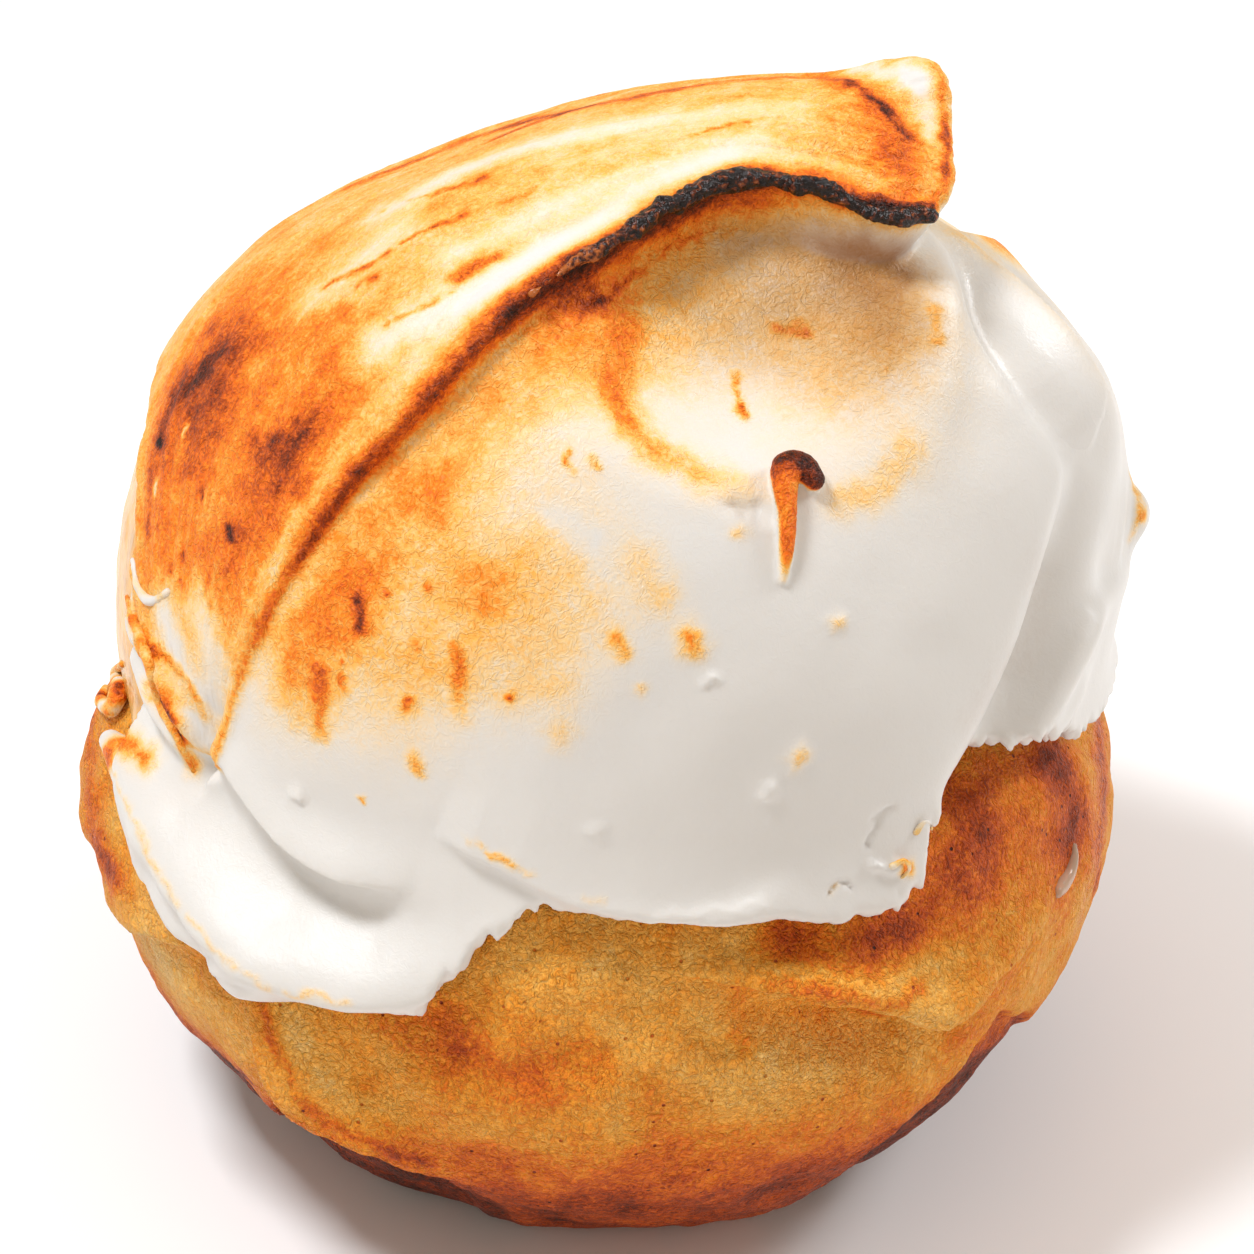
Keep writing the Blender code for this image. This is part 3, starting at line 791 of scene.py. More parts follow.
class Canvas:
    """Surface of a piece, on which marks land where the camera sees them."""

    spacing = 5.0
    largest_jump = 3.0
    reach = 2.4
    rag = 0.5
    rag_size = 1.2

    def __init__(self, view: Viewpoint, *pieces: bpy.types.Object) -> None:
        """Hold the surface.

        Args:
            view: The camera.
            pieces: The objects that it is made of.
        """
        self.view = view
        self.points = np.concatenate([read_points(made) for made in pieces])
        faces, count = [], 0
        for made in pieces:
            faces += [tuple(count + corner for corner in face.vertices) for face in made.data.polygons]
            count += len(made.data.vertices)
        self.tree = BVHTree.FromPolygons(self.points.tolist(), faces)
        ragged = [Noise(seed).at(self.points, self.rag_size) for seed in (Seed.RAG_X, Seed.RAG_Y, Seed.RAG_Z)]
        self.ragged = self.points + self.rag * np.stack(ragged, 1)

    def land(self, path: Sequence[Pair]) -> Array:
        """Points where a path of pixels lands, with how far along each lies.

        Args:
            path: Pixels on it.

        Returns:
            Rows of x, y, z and share of the way along.
        """
        pixels = np.array(path, float)
        if len(pixels) > 1:
            length = np.linalg.norm(np.diff(pixels, axis=0), axis=1).sum()
            pixels = smooth_path(pixels, max(2, int(length / self.spacing) + 1))
        rows = []
        for n, (x, y) in enumerate(pixels):
            hit = self.tree.ray_cast(Vector(self.view.place), Vector(self.view.ray(x, y)))[0]
            if hit is not None:
                rows.append((*hit, n / max(len(pixels) - 1, 1)))
        return np.array(rows).reshape(-1, 4)

    def laid(self, marks: Iterable[Mark]) -> Array:
        """Sum of the strengths of marks at every point of the surface.

        Args:
            marks: The marks.

        Returns:
            One number for each point.
        """
        total = np.zeros(len(self.points))
        for mark in marks:
            landed = self.land(mark.path)
            if not len(landed):
                continue
            width = mark.width / self.view.pixels_per_mm
            strengths = np.atleast_1d(np.array(mark.strength, float))
            middle = landed[:, :3].mean(0)
            span = np.linalg.norm(landed[:, :3] - middle, axis=1).max() + self.reach * width
            near = np.flatnonzero(np.linalg.norm(self.points - middle, axis=1) < span)
            least, place = np.full(len(near), np.inf), np.zeros(len(near))
            starts, ends = (landed[:-1], landed[1:]) if len(landed) > 1 else (landed, landed)
            for start, end in zip(starts, ends):
                run = end[:3] - start[:3]
                if run @ run > self.largest_jump ** 2:
                    continue
                t = np.clip((self.ragged[near] - start[:3]) @ run / max(run @ run, SMALL), 0, 1)
                gap = np.linalg.norm(self.ragged[near] - start[:3] - t[:, None] * run, axis=1)
                closer = gap < least
                least[closer] = gap[closer]
                place[closer] = (start[3] + t * (end[3] - start[3]))[closer]
            strength = np.interp(place, np.linspace(0, 1, len(strengths)), strengths)
            total[near] += strength * np.exp(-(least / width) ** 2)
        return total


# Finishes


def linear(code: str) -> tuple[float, float, float, float]:
    """Linear colour of an sRGB hex code.

    Args:
        code: Six hex digits after a hash sign.

    Returns:
        Red, green, blue and alpha.
    """
    parts = [int(code[n:n + 2], 16) / 255 for n in (1, 3, 5)]
    red, green, blue = (p / 12.92 if p <= 0.04045 else ((p + 0.055) / 1.055) ** 2.4 for p in parts)
    return red, green, blue, 1.0


class Graph:
    """Nodes of a new material, whose own shader they feed."""

    def __init__(self, name: str) -> None:
        """Make the material.

        Args:
            name: Its name.
        """
        self.material = bpy.data.materials.new(name)
        self.material.use_nodes = True
        self.tree = self.material.node_tree

    def feed(self, node: bpy.types.Node, inputs: dict | Sequence) -> None:
        """Set a node's inputs, or link them.

        Args:
            node: The node.
            inputs: Values, or sockets to link, in order or by the input's name or number.
        """
        for name, value in inputs.items() if isinstance(inputs, dict) else enumerate(inputs):
            if isinstance(value, bpy.types.NodeSocket):
                self.tree.links.new(value, node.inputs[name])
            else:
                node.inputs[name].default_value = value

    def add(self, kind: str, inputs: dict | Sequence = (), stops: Sequence[tuple[float, str]] = (),
            output: int | str = 0, **settings: object) -> bpy.types.NodeSocket:
        """Add a node with its settings and links.

        Args:
            kind: Blender's name for the kind of node, without ShaderNode.
            inputs: What its inputs are fed.
            stops: Places and hex colours of a colour ramp.
            output: Name or number of the output to return.
            settings: The node's own settings.

        Returns:
            That output.
        """
        node = self.tree.nodes.new("ShaderNode" + kind)
        for name, value in settings.items():
            setattr(node, name, value)
        self.feed(node, inputs)
        if stops:
            ramp = node.color_ramp.elements
            while len(ramp) < len(stops):
                ramp.new(0.5)
            for element, (place, code) in zip(ramp, stops):
                element.position = place
                element.color = linear(code)
        return node.outputs[output]

    def finish(self, inputs: dict) -> bpy.types.Material:
        """Feed the material's own shader, and hand the material over."""
        self.feed(self.tree.nodes["Principled BSDF"], inputs)
        return self.material


def per_metre(size: float) -> float:
    """Scale of a texture whose features are a size in millimetres."""
    return 1 / (size * MILLIMETRE)


@dataclass(frozen=True)
class ToastedMeringue:
    """Egg-white foam, whipped, spread with a spatula and browned with a torch.

    To the eye: satin white with a soft glow inside, a fine matt grain where it browned, drag lines
    along each swipe, and colours from cream through gold and brown to black sugar.
    """

    colours: tuple = (
        (0.0, "#DAD7D2"), (0.1, "#E5D5BD"), (0.22, "#F0CB90"), (0.36, "#F8B656"), (0.5, "#F88E20"),
        (0.62, "#EC6E0C"), (0.74, "#B4480A"), (0.85, "#6A270B"), (0.94, "#30130A"), (1.0, "#140D0B"),
    )
    # Colour of the painted shade in hollows and valleys
    painted_shade_colour: str = "#9E6A36"
    # Size in millimetres, detail and distortion of the grain, curls, patches, clouds and pits
    noises: tuple = ((0.5, 2.0, 1.6), (0.8, 1.0, 1.2), (2.4, 4.0, 0.0), (7.0, 3.0, 0.0), (1.6, 2.0, 0.0))
    drag_length: float = 14.0
    drag_width: float = 0.8
    drag_detail: float = 3.0
    curl_narrowing: float = -8.0
    mottle_shares: tuple = (0.9, 0.5, 0.75)  # Of the patches, clouds and grain
    curl_share: float = -0.16
    streak_share: float = 0.45
    swing_room: float = 1.25
    swing: float = 1.25
    # Grain and reach of the painted shade
    painted_shade_grain: float = 0.3
    painted_shade_fade: float = 4.0
    curl_height: float = 0.4
    toasted_height: float = 1.1
    white_height: float = 0.03
    streak_height: float = 0.3
    pit_height: float = 0.12
    bump_metres: float = 0.00035
    white_roughness: float = 0.38
    toasted_roughness: float = 0.5
    wet_shine: float = 0.3

    def make(self) -> bpy.types.Material:
        """Material that reads toast, drag, along, across, wet and the painted shade of hollows at each point.
        """
        graph = Graph("toasted_meringue")
        place = graph.add("TexCoord", output="Object")
        toast, drag, along, across, wet, tan = (
            graph.add("Attribute", output="Fac", attribute_name=name)
            for name in ("toast", "drag", "along", "across", "wet", "tan"))
        fine, curl, patches, clouds, pits = (
            graph.add("TexNoise", {
                "Vector": place, "Scale": per_metre(size), "Detail": detail, "Distortion": distortion})
            for size, detail, distortion in self.noises)
        for operation, *values in (("SUBTRACT", 0.5), ("ABSOLUTE",),
                                   ("MULTIPLY_ADD", self.curl_narrowing, 1.0), ("MAXIMUM", 0.0)):
            curl = graph.add("Math", (curl, *values), operation=operation)
        mottle = 0.0
        for noise, share in zip((patches, clouds, fine), self.mottle_shares):
            mottle = graph.add("Math", (mottle, share / 2), operation="SUBTRACT")
            mottle = graph.add("Math", (noise, share, mottle), operation="MULTIPLY_ADD")
        run = graph.add("CombineXYZ", {
            "X": graph.add("Math", (along, self.drag_length), operation="DIVIDE"),
            "Y": graph.add("Math", (across, self.drag_width), operation="DIVIDE")})
        streaks = graph.add("TexNoise", {"Vector": run, "Scale": 1.0, "Detail": self.drag_detail})
        streaks = graph.add("Math", (streaks, 0.5), operation="SUBTRACT")
        streaks = graph.add("Math", (streaks, drag), operation="MULTIPLY")

        # The swing from the plain browning is widest at half toast
        swing = graph.add("Math", (curl, self.curl_share, mottle), operation="MULTIPLY_ADD")
        swing = graph.add("Math", (streaks, self.streak_share, swing), operation="MULTIPLY_ADD")
        room = graph.add("Math", (self.swing_room, toast), operation="SUBTRACT")
        room = graph.add("Math", (toast, room), operation="MULTIPLY")
        swing = graph.add("Math", (swing, room), operation="MULTIPLY")
        swing = graph.add("Math", (swing, self.swing), operation="MULTIPLY")
        value = graph.add("Math", (toast, swing), operation="ADD")
        colour = graph.add("ValToRGB", {"Fac": value}, stops=self.colours)
        # Painted shade: a caramel-brown colour is mixed in where the painted shade is set, with a little
        # grain
        depth = graph.add("Math", (tan, self.painted_shade_grain / 2), operation="SUBTRACT")
        depth = graph.add("Math", (fine, self.painted_shade_grain, depth), operation="MULTIPLY_ADD")
        shaded_colour = graph.add("Mix", {"Factor": depth, 6: colour, 7: linear(self.painted_shade_colour)}, output=2,
                         data_type="RGBA")
        reach = graph.add("Math", (tan, self.painted_shade_fade), operation="MULTIPLY")
        reach = graph.add("Math", (reach, 1.0), operation="MINIMUM")
        colour = graph.add("Mix", {"Factor": reach, 6: colour, 7: shaded_colour}, output=2, data_type="RGBA")

        height = graph.add("Math", (curl, self.curl_height, fine), operation="MULTIPLY_ADD")
        relief = graph.add("Math", (toast, self.toasted_height, self.white_height),
                           operation="MULTIPLY_ADD")
        height = graph.add("Math", (height, relief), operation="MULTIPLY")
        for noise, share in ((streaks, self.streak_height), (pits, self.pit_height)):
            height = graph.add("Math", (noise, share, height), operation="MULTIPLY_ADD")
        rough = graph.add("MapRange", {
            "Value": value, "From Min": 0.0, "From Max": 0.5, "To Min": self.white_roughness,
            "To Max": self.toasted_roughness})
        shine = graph.add("Math", (wet, self.wet_shine), operation="MULTIPLY")
        return graph.finish({
            "Base Color": colour,
            "Roughness": graph.add("Math", (rough, shine), operation="SUBTRACT"),
            "Normal": graph.add("Bump", {"Height": height, "Distance": self.bump_metres, "Strength": 1.0}),
            "Subsurface Weight": 0.25, "Subsurface Radius": (1.0, 0.85, 0.7), "Subsurface Scale": 0.0012,
            "Specular IOR Level": 0.36, "IOR": 1.42})


@dataclass(frozen=True)
class BakedPastry:
    """Sweet shortcrust pastry, baked in a hot oven.

    To the eye: a matt, sandy skin of fine crumbs and small pores, pale gold where it stayed soft,
    orange-brown to dark brown where it met the heat, with a slight shine of butter.
    """

    colours: tuple = (
        (0.0, "#FFD07E"), (0.18, "#FFB950"), (0.36, "#FA9D26"), (0.52, "#F07808"), (0.66, "#C85004"),
        (0.8, "#8A3002"), (0.92, "#4C1903"), (1.0, "#281004"),
    )
    # Size in millimetres, detail and distortion of the crumbs, curls, patches and lumps
    noises: tuple = ((0.5, 3.0, 1.2), (0.9, 1.0, 1.4), (3.0, 4.0, 0.0), (1.3, 3.0, 0.0))
    pore_spacing: float = 1.9
    pore_radius: float = 0.09
    crumb_base: float = 0.1
    curl_width: float = 0.12
    curl_share: float = 1.6
    shares: tuple = (0.42, 0.4)  # Of the crumbs and patches in the browning
    pore_share: float = 0.3
    lump_height: float = 0.8
    pore_height: float = -0.8
    bump_metres: float = 0.0008
    roughness: float = 0.56
    wet_shine: float = 0.3

    def make(self) -> bpy.types.Material:
        """Material that reads bake and wet at each point."""
        graph = Graph("baked_pastry")
        place = graph.add("TexCoord", output="Object")
        value, wet = (graph.add("Attribute", output="Fac", attribute_name=name)
                      for name in ("bake", "wet"))
        crumbs, curl, patches, lumps = (
            graph.add("TexNoise", {
                "Vector": place, "Scale": per_metre(size), "Detail": detail, "Distortion": distortion})
            for size, detail, distortion in self.noises)
        for operation, *values in (("SUBTRACT", 0.5), ("ABSOLUTE",), ("MINIMUM", self.curl_width)):
            curl = graph.add("Math", (curl, *values), operation=operation)
        crumbs = graph.add("Math", (crumbs, self.crumb_base), operation="SUBTRACT")
        crumbs = graph.add("Math", (curl, self.curl_share, crumbs), operation="MULTIPLY_ADD")
        pores = graph.add("TexVoronoi", {
            "Vector": place, "Scale": per_metre(self.pore_spacing), "Randomness": 1.0}, output="Distance")
        pores = graph.add("MapRange", {
            "Value": pores, "From Min": self.pore_radius, "From Max": self.pore_radius / 2,
            "To Min": 0.0, "To Max": 1.0})
        for noise, share in zip((crumbs, patches), self.shares):
            value = graph.add("Math", (value, share / 2), operation="SUBTRACT")
            value = graph.add("Math", (noise, share, value), operation="MULTIPLY_ADD")
        value = graph.add("Math", (pores, self.pore_share, value), operation="MULTIPLY_ADD")
        height = crumbs
        for noise, share in ((lumps, self.lump_height), (pores, self.pore_height)):
            height = graph.add("Math", (noise, share, height), operation="MULTIPLY_ADD")
        shine = graph.add("Math", (wet, self.wet_shine), operation="MULTIPLY")
        return graph.finish({
            "Base Color": graph.add("ValToRGB", {"Fac": value}, stops=self.colours),
            "Roughness": graph.add("Math", (self.roughness, shine), operation="SUBTRACT"),
            "Normal": graph.add("Bump", {"Height": height, "Distance": self.bump_metres, "Strength": 1.0}),
            "Subsurface Weight": 0.08, "Subsurface Radius": (1.0, 0.5, 0.2), "Subsurface Scale": 0.001,
            "Specular IOR Level": 0.32, "IOR": 1.45})


@dataclass(frozen=True)
class LemonCurd:
    """Lemon curd, set in the oven.

    To the eye: a wet, pale yellow gel, smooth and a little see-through, with a darker skin.
    """

    colours: tuple = ((0.3, "#EDBC6A"), (0.55, "#E2A850"), (0.75, "#C48C3A"))
    patch: float = 3.0
    bump_metres: float = 0.0004

    def make(self) -> bpy.types.Material:
        """Material of the filling."""
        graph = Graph("lemon_curd")
        patches = graph.add("TexNoise", {
            "Vector": graph.add("TexCoord", output="Object"), "Scale": per_metre(self.patch),
            "Detail": 3.0})
        return graph.finish({
            "Base Color": graph.add("ValToRGB", {"Fac": patches}, stops=self.colours),
            "Normal": graph.add("Bump", {"Height": patches, "Distance": self.bump_metres, "Strength": 1.0}),
            "Roughness": 0.22, "IOR": 1.38, "Subsurface Weight": 0.3,
            "Subsurface Radius": (1.0, 0.7, 0.25), "Subsurface Scale": 0.002})


@dataclass(frozen=True)
class BurntSugar:
    """Meringue charred by the torch along the lip.

    To the eye: a black-brown glassy crust of burst bubbles, with sharp small highlights.
    """

    colours: tuple = ((0.35, "#0C0807"), (0.52, "#1E0E09"), (0.62, "#5A2610"), (0.76, "#B0602A"))
    bubble: float = 0.45
    bump_metres: float = 0.0004
    browner_start: float = 0.3

    def make(self) -> bpy.types.Material:
        """Material of the charred lip, which reads char at each point."""
        graph = Graph("burnt_sugar")
        bubbles = graph.add("TexNoise", {
            "Vector": graph.add("TexCoord", output="Object"), "Scale": per_metre(self.bubble),
            "Detail": 3.0})
        char = graph.add("Attribute", output="Fac", attribute_name="char")
        value = graph.add("Math", (1.0, char), operation="SUBTRACT")
        value = graph.add("Math", (value, self.browner_start, bubbles), operation="MULTIPLY_ADD")
        return graph.finish({
            "Base Color": graph.add("ValToRGB", {"Fac": value}, stops=self.colours),
            "Normal": graph.add("Bump", {"Height": bubbles, "Distance": self.bump_metres, "Strength": 1.0}),
            "Specular IOR Level": 0.35, "Roughness": 0.22, "IOR": 1.5})


@dataclass(frozen=True)
class Syrup:
    """Clear sugar syrup wept from the meringue.

    To the eye: a pale glassy bead that shows the crust through it and a bright line of light.
    """

    tint: str = "#F3DDBF"

    def make(self) -> bpy.types.Material:
        """Material of the syrup bead."""
        return Graph("syrup").finish({
            "Base Color": linear(self.tint), "Transmission Weight": 0.6, "Roughness": 0.08, "IOR": 1.4})


# Pieces


@dataclass
class Crust:
    """Rounded bun of pastry on a narrower flat foot."""

    middle: tuple[float, float, float] = (0.0, 0.0, 25.4)
    radius: float = 40.6
    rise: float = 23.0
    drop: float = 31.6
    top_power: float = 2.6
    base_power: float = 2.0
    base_rounding: float = 1.2
    probe: float = 2.2
    foot_edge: float = 0.7
    foot_power: float = 0.7
    low: tuple[float, float, float] = (-44.0, -44.0, -2.0)
    high: tuple[float, float, float] = (44.0, 44.0, 50.0)
    mesher: Mesher = Mesher(0.36)
    hidden_above: float = 38.0
    hidden_below: float = 1.5
    hidden_behind: float = 15.0
    hidden_keep: float = 0.35
    lumps: tuple = ((Seed.CRUST_SWELLING, 8.0, 0.5), (Seed.CRUST_LUMPS, 3.2, 0.26),
                    (Seed.CRUST_CRUMBS, 1.2, 0.1))
    lumps_start: Pair = (0.4, 4.0)
    lumps_end: Pair = (44.0, 38.0)
    # Browning and painted shade: size and strength of patches, strengths of the rest, and heights where each
    # begins and ends
    plain: float = 0.27
    back_start: float = 110.0
    back_patches: Pair = (11.0, 0.18)
    back_browner: float = 0.16
    front_patches: Pair = (9.0, 0.07)
    foot_browner: float = 0.2
    foot_browner_over: Pair = (0.4, -0.6)
    brow_browner: float = 0.08
    brow_browner_over: Pair = (3.0, 0.4)
    base_browner: float = 0.44
    base_browner_over: Pair = (21.0, 10.0)
    # Painted shade in creases and under ledges: its strength and its largest share
    crease_painted_shade: float = 0.46
    deepest_crease_shade: float = 0.8
    palest: float = 0.02
    darkest: float = 0.84
    folds: Relief = field(default_factory=lambda: Relief([
        Stroke([(180, 5), (192, 3), (204, 0), (215, 3), (226, 6)], (0.4, 1.3, 1.9, 1.6, 0.3), 4.5, 0.6),
        Stroke([(228, 8), (232, 3), (234, -4), (239, -10), (247, -13), (256, -16)],
               (0.4, 2.4, 2.7, 2.5, 2.0, 0.3), 4.0, 0.5),
        Stroke([(276, 14), (284, 12), (292, 9), (300, 6), (307, 2), (314, 3), (322, 4), (332, 6)],
               (0.0, 1.4, 2.5, 3.2, 3.4, 2.4, 1.0, 0.0), 3.2, 0.5),
        Stroke([(284, 7), (291, 6), (299, 3), (306, -1), (313, 0)], (-0.4, -2.2, -3.2, -3.2, -0.6), 1.6, 3.0),
        Stroke([(279, 7), (283, 3), (288, 1)], (-0.4, -1.4, -0.3), 1.5, 1.5),
        Stroke([(274, 15), (275, 9), (274, 3)], (-0.4, -1.1, 0.0), 2.6, 2.6),
        Stroke([(240, 2), (252, -2), (262, -6)], (0.0, 0.5, 0.0), 2.5, 2.5),
        Stroke([(262, 9), (268, 5), (276, 4)], (0.0, -0.5, 0.0), 3.0, 3.0),
    ], [
        Swell(188, 16, 8, 1.3), Swell(200, -7, 7, -1.0), Swell(216, -19, 7, -1.5),
        Swell(208, -22, 10, -0.4), Swell(265, -8, 9, 0.7), Swell(318, -22, 8, 0.2), Swell(340, -28, 10, -0.8),
        Swell(350, 3, 12, 0.6), Swell(2, 16, 9, 0.5), Swell(262, -32, 12, -0.6), Swell(222, -36, 7, 0.7),
        Swell(20, 5, 14, 0.6), Swell(60, -8, 12, -0.6), Swell(105, 3, 14, 0.7),
        Swell(150, -6, 12, -0.5),
    ]))
    foot: tuple = (
        (190, 16), (197, 14), (204, 11.5), (212, 9.3), (218, 9.3), (224, 10.5), (228, 14.5), (232, 18),
        (236, 18.4), (240, 17.4), (245, 16.4), (250, 15), (254, 12), (258, 9), (263, 6), (270, 4), (285, 4),
        (295, 5), (301, 7.5), (305, 12), (308.5, 14.5), (313, 17), (318, 20), (320.5, 21.5), (326, 19),
        (335, 14), (350, 11), (20, 10), (60, 9), (100, 9), (140, 9), (170, 12),
    )
    foot_inset: tuple = (
        (190, 1.0), (204, 1.6), (212, 2.4), (220, 2.8), (232, 3.0), (244, 3.0), (250, 2.4), (254, 0.8),
        (259, 0), (295, 0), (302, 1.2), (308, 1.8), (314, 1.5), (319, 1.2), (326, 1.0), (335, 0.9),
        (350, 0.9), (30, 1.2), (90, 1.2), (150, 1.0), (175, 0.8),
    )
    marks: tuple = (
        Mark(((92, 700), (90, 800), (112, 880)), 22, 0.2), Mark(((95, 850), (130, 895)), 16, 0.2),
        Mark(((140, 930), (175, 980), (230, 1030)), 34, -0.16),
        Mark(((152, 998), (205, 1045), (250, 1080)), 10, 0.3),
        # Painted shadow along the lower side of the left fold, then painted highlight along its upper side
        Mark(((262, 1000), (268, 1030), (284, 1064), (300, 1100), (336, 1126), (388, 1150), (430, 1166)),
             7, 0.24),
        Mark(((284, 1000), (300, 1045), (330, 1085), (400, 1115)), 12, -0.12),
        Mark(((150, 860), (200, 930)), 30, -0.08), Mark(((560, 1040), (600, 1120)), 40, 0.06),
        Mark(((420, 1140), (560, 1165), (700, 1155), (860, 1100)), 36, 0.14),
        Mark(((470, 1050), (530, 1090)), 44, 0.18), Mark(((380, 1015), (440, 1060)), 34, 0.13),
        Mark(((560, 960), (680, 1000), (760, 1060)), 60, -0.08),
        Mark(((800, 1060), (940, 1020)), 46, -0.08), Mark(((780, 935), (850, 950), (900, 930)), 26, 0.24),
        Mark(((880, 950), (940, 890), (980, 820)), 40, 0.2),
        # Painted highlight along the top of the crease at the right, then painted shadow beneath it
        Mark(((766, 968), (822, 974), (857, 983), (883, 993), (922, 968), (961, 954)), 7, -0.14),
        Mark(((772, 984), (822, 992), (857, 1001), (883, 1009), (922, 988)), 9, 0.2),
        # Painted shade in the hollows below that crease
        Mark(((730, 1010), (800, 1010), (880, 1018)), 16, 0.1), Mark(((735, 1035), (748, 1052)), 8, 0.2),
        Mark(((990, 860), (1060, 800)), 80, 0.27), Mark(((1050, 760), (1075, 800), (1060, 890)), 36, 0.16),
        Mark(((950, 800), (1000, 770), (1060, 760)), 24, 0.14),
        Mark(((1098, 720), (1104, 800), (1095, 900)), 16, 0.28), Mark(((960, 1040), (1020, 970)), 30, 0.14),
        # The second mark is painted shade down a soft hollow
        Mark(((640, 925), (700, 920)), 14, 0.1), Mark(((664, 945), (676, 1000), (668, 1040)), 14, 0.08),
    )
    wet_marks: tuple = (
        Mark(((1095, 720), (1100, 830), (1080, 920)), 26, 0.8),
    )

    def shape(self, points: Array) -> Array:
        """Field of the bun: a superellipsoid with folds, a narrower foot and a flat base."""
        offset = points - np.array(self.middle)
        distance = np.maximum(np.linalg.norm(offset, axis=1), SMALL)
        facing = offset / distance[:, None]
        azimuth, latitude = angles(points, np.array(self.middle))
        level = np.hypot(facing[:, 0], facing[:, 1]) / self.radius
        upper = facing[:, 2] > 0
        upright = np.abs(facing[:, 2]) / np.where(upper, self.rise, self.drop) + SMALL
        power = np.where(upper, self.top_power, self.base_power)
        radius = (level ** power + upright ** power) ** (-1 / power) + self.folds.at(azimuth, latitude)
        foot = around(azimuth, self.foot)
        below = step(points[:, 2] - foot, self.foot_edge, -self.foot_edge)
        below *= np.clip(points[:, 2] / foot, 0, 1) ** self.foot_power
        radius -= around(azimuth, self.foot_inset) * below
        return smooth_max(distance - radius, -points[:, 2], self.base_rounding)

    def bake(self, points: Array, normals: Array, canvas: Canvas) -> Array:
        """How far each point is baked, from 0, pale, to 1, dark brown, with painted shade darkest in creases.

        Args:
            points: Points of the surface.
            normals: Its normals.
            canvas: The surface, for the marks in the photograph.

        Returns:
            One number for each point.
        """
        azimuth, _ = angles(points, np.array(self.middle))
        back = behind(azimuth, self.back_start)
        size, strength = self.back_patches
        bake = self.plain + strength * Noise(Seed.BAKED_BACK).at(points, size) * back
        bake = bake + self.back_browner * back
        size, strength = self.front_patches
        bake += strength * Noise(Seed.BAKED_FRONT).at(points, size) * (1 - back)
        above_foot = points[:, 2] - around(azimuth, self.foot)
        edge = np.clip(around(azimuth, self.foot_inset), 0, 1)
        bake += (self.foot_browner * edge * step(above_foot, *self.foot_browner_over)
                 + self.brow_browner * edge * step(above_foot, *self.brow_browner_over))
        bake += self.base_browner * step(points[:, 2], *self.base_browner_over)
        # Painted shade: darker where the surface closes in round the point, in creases and under ledges
        closed = 1 - self.shape(points + self.probe * normals) / self.probe
        bake += self.crease_painted_shade * np.clip(closed, 0, self.deepest_crease_shade)
        return np.clip(bake + canvas.laid(self.marks), self.palest, self.darkest)

    def build(self, view: Viewpoint) -> bpy.types.Object:
        """Mesh, roughen and finish the crust.

        Args:
            view: The camera, to place the marks.

        Returns:
            The object.
        """
        points, quads = self.mesher.mesh(self.shape, self.low, self.high)
        made = make_object("pastry_crust", points, quads)
        hidden = ((points[:, 2] > self.hidden_above) | (points[:, 2] < self.hidden_below)
                  | (points[:, 1] > self.hidden_behind))
        points = thin(made, hidden, self.hidden_keep)
        lumps = layered(points, self.lumps)
        lumps *= step(points[:, 2], *self.lumps_start) * step(points[:, 2], *self.lumps_end)
        points = points + read_normals(made) * lumps[:, None]
        write_points(made, points)
        canvas = Canvas(view, made)
        wet = np.clip(canvas.laid(self.wet_marks), 0, 1)
        write_values(made, bake=self.bake(points, read_normals(made), canvas), wet=wet)
        made.data.materials.append(BakedPastry().make())
        return made


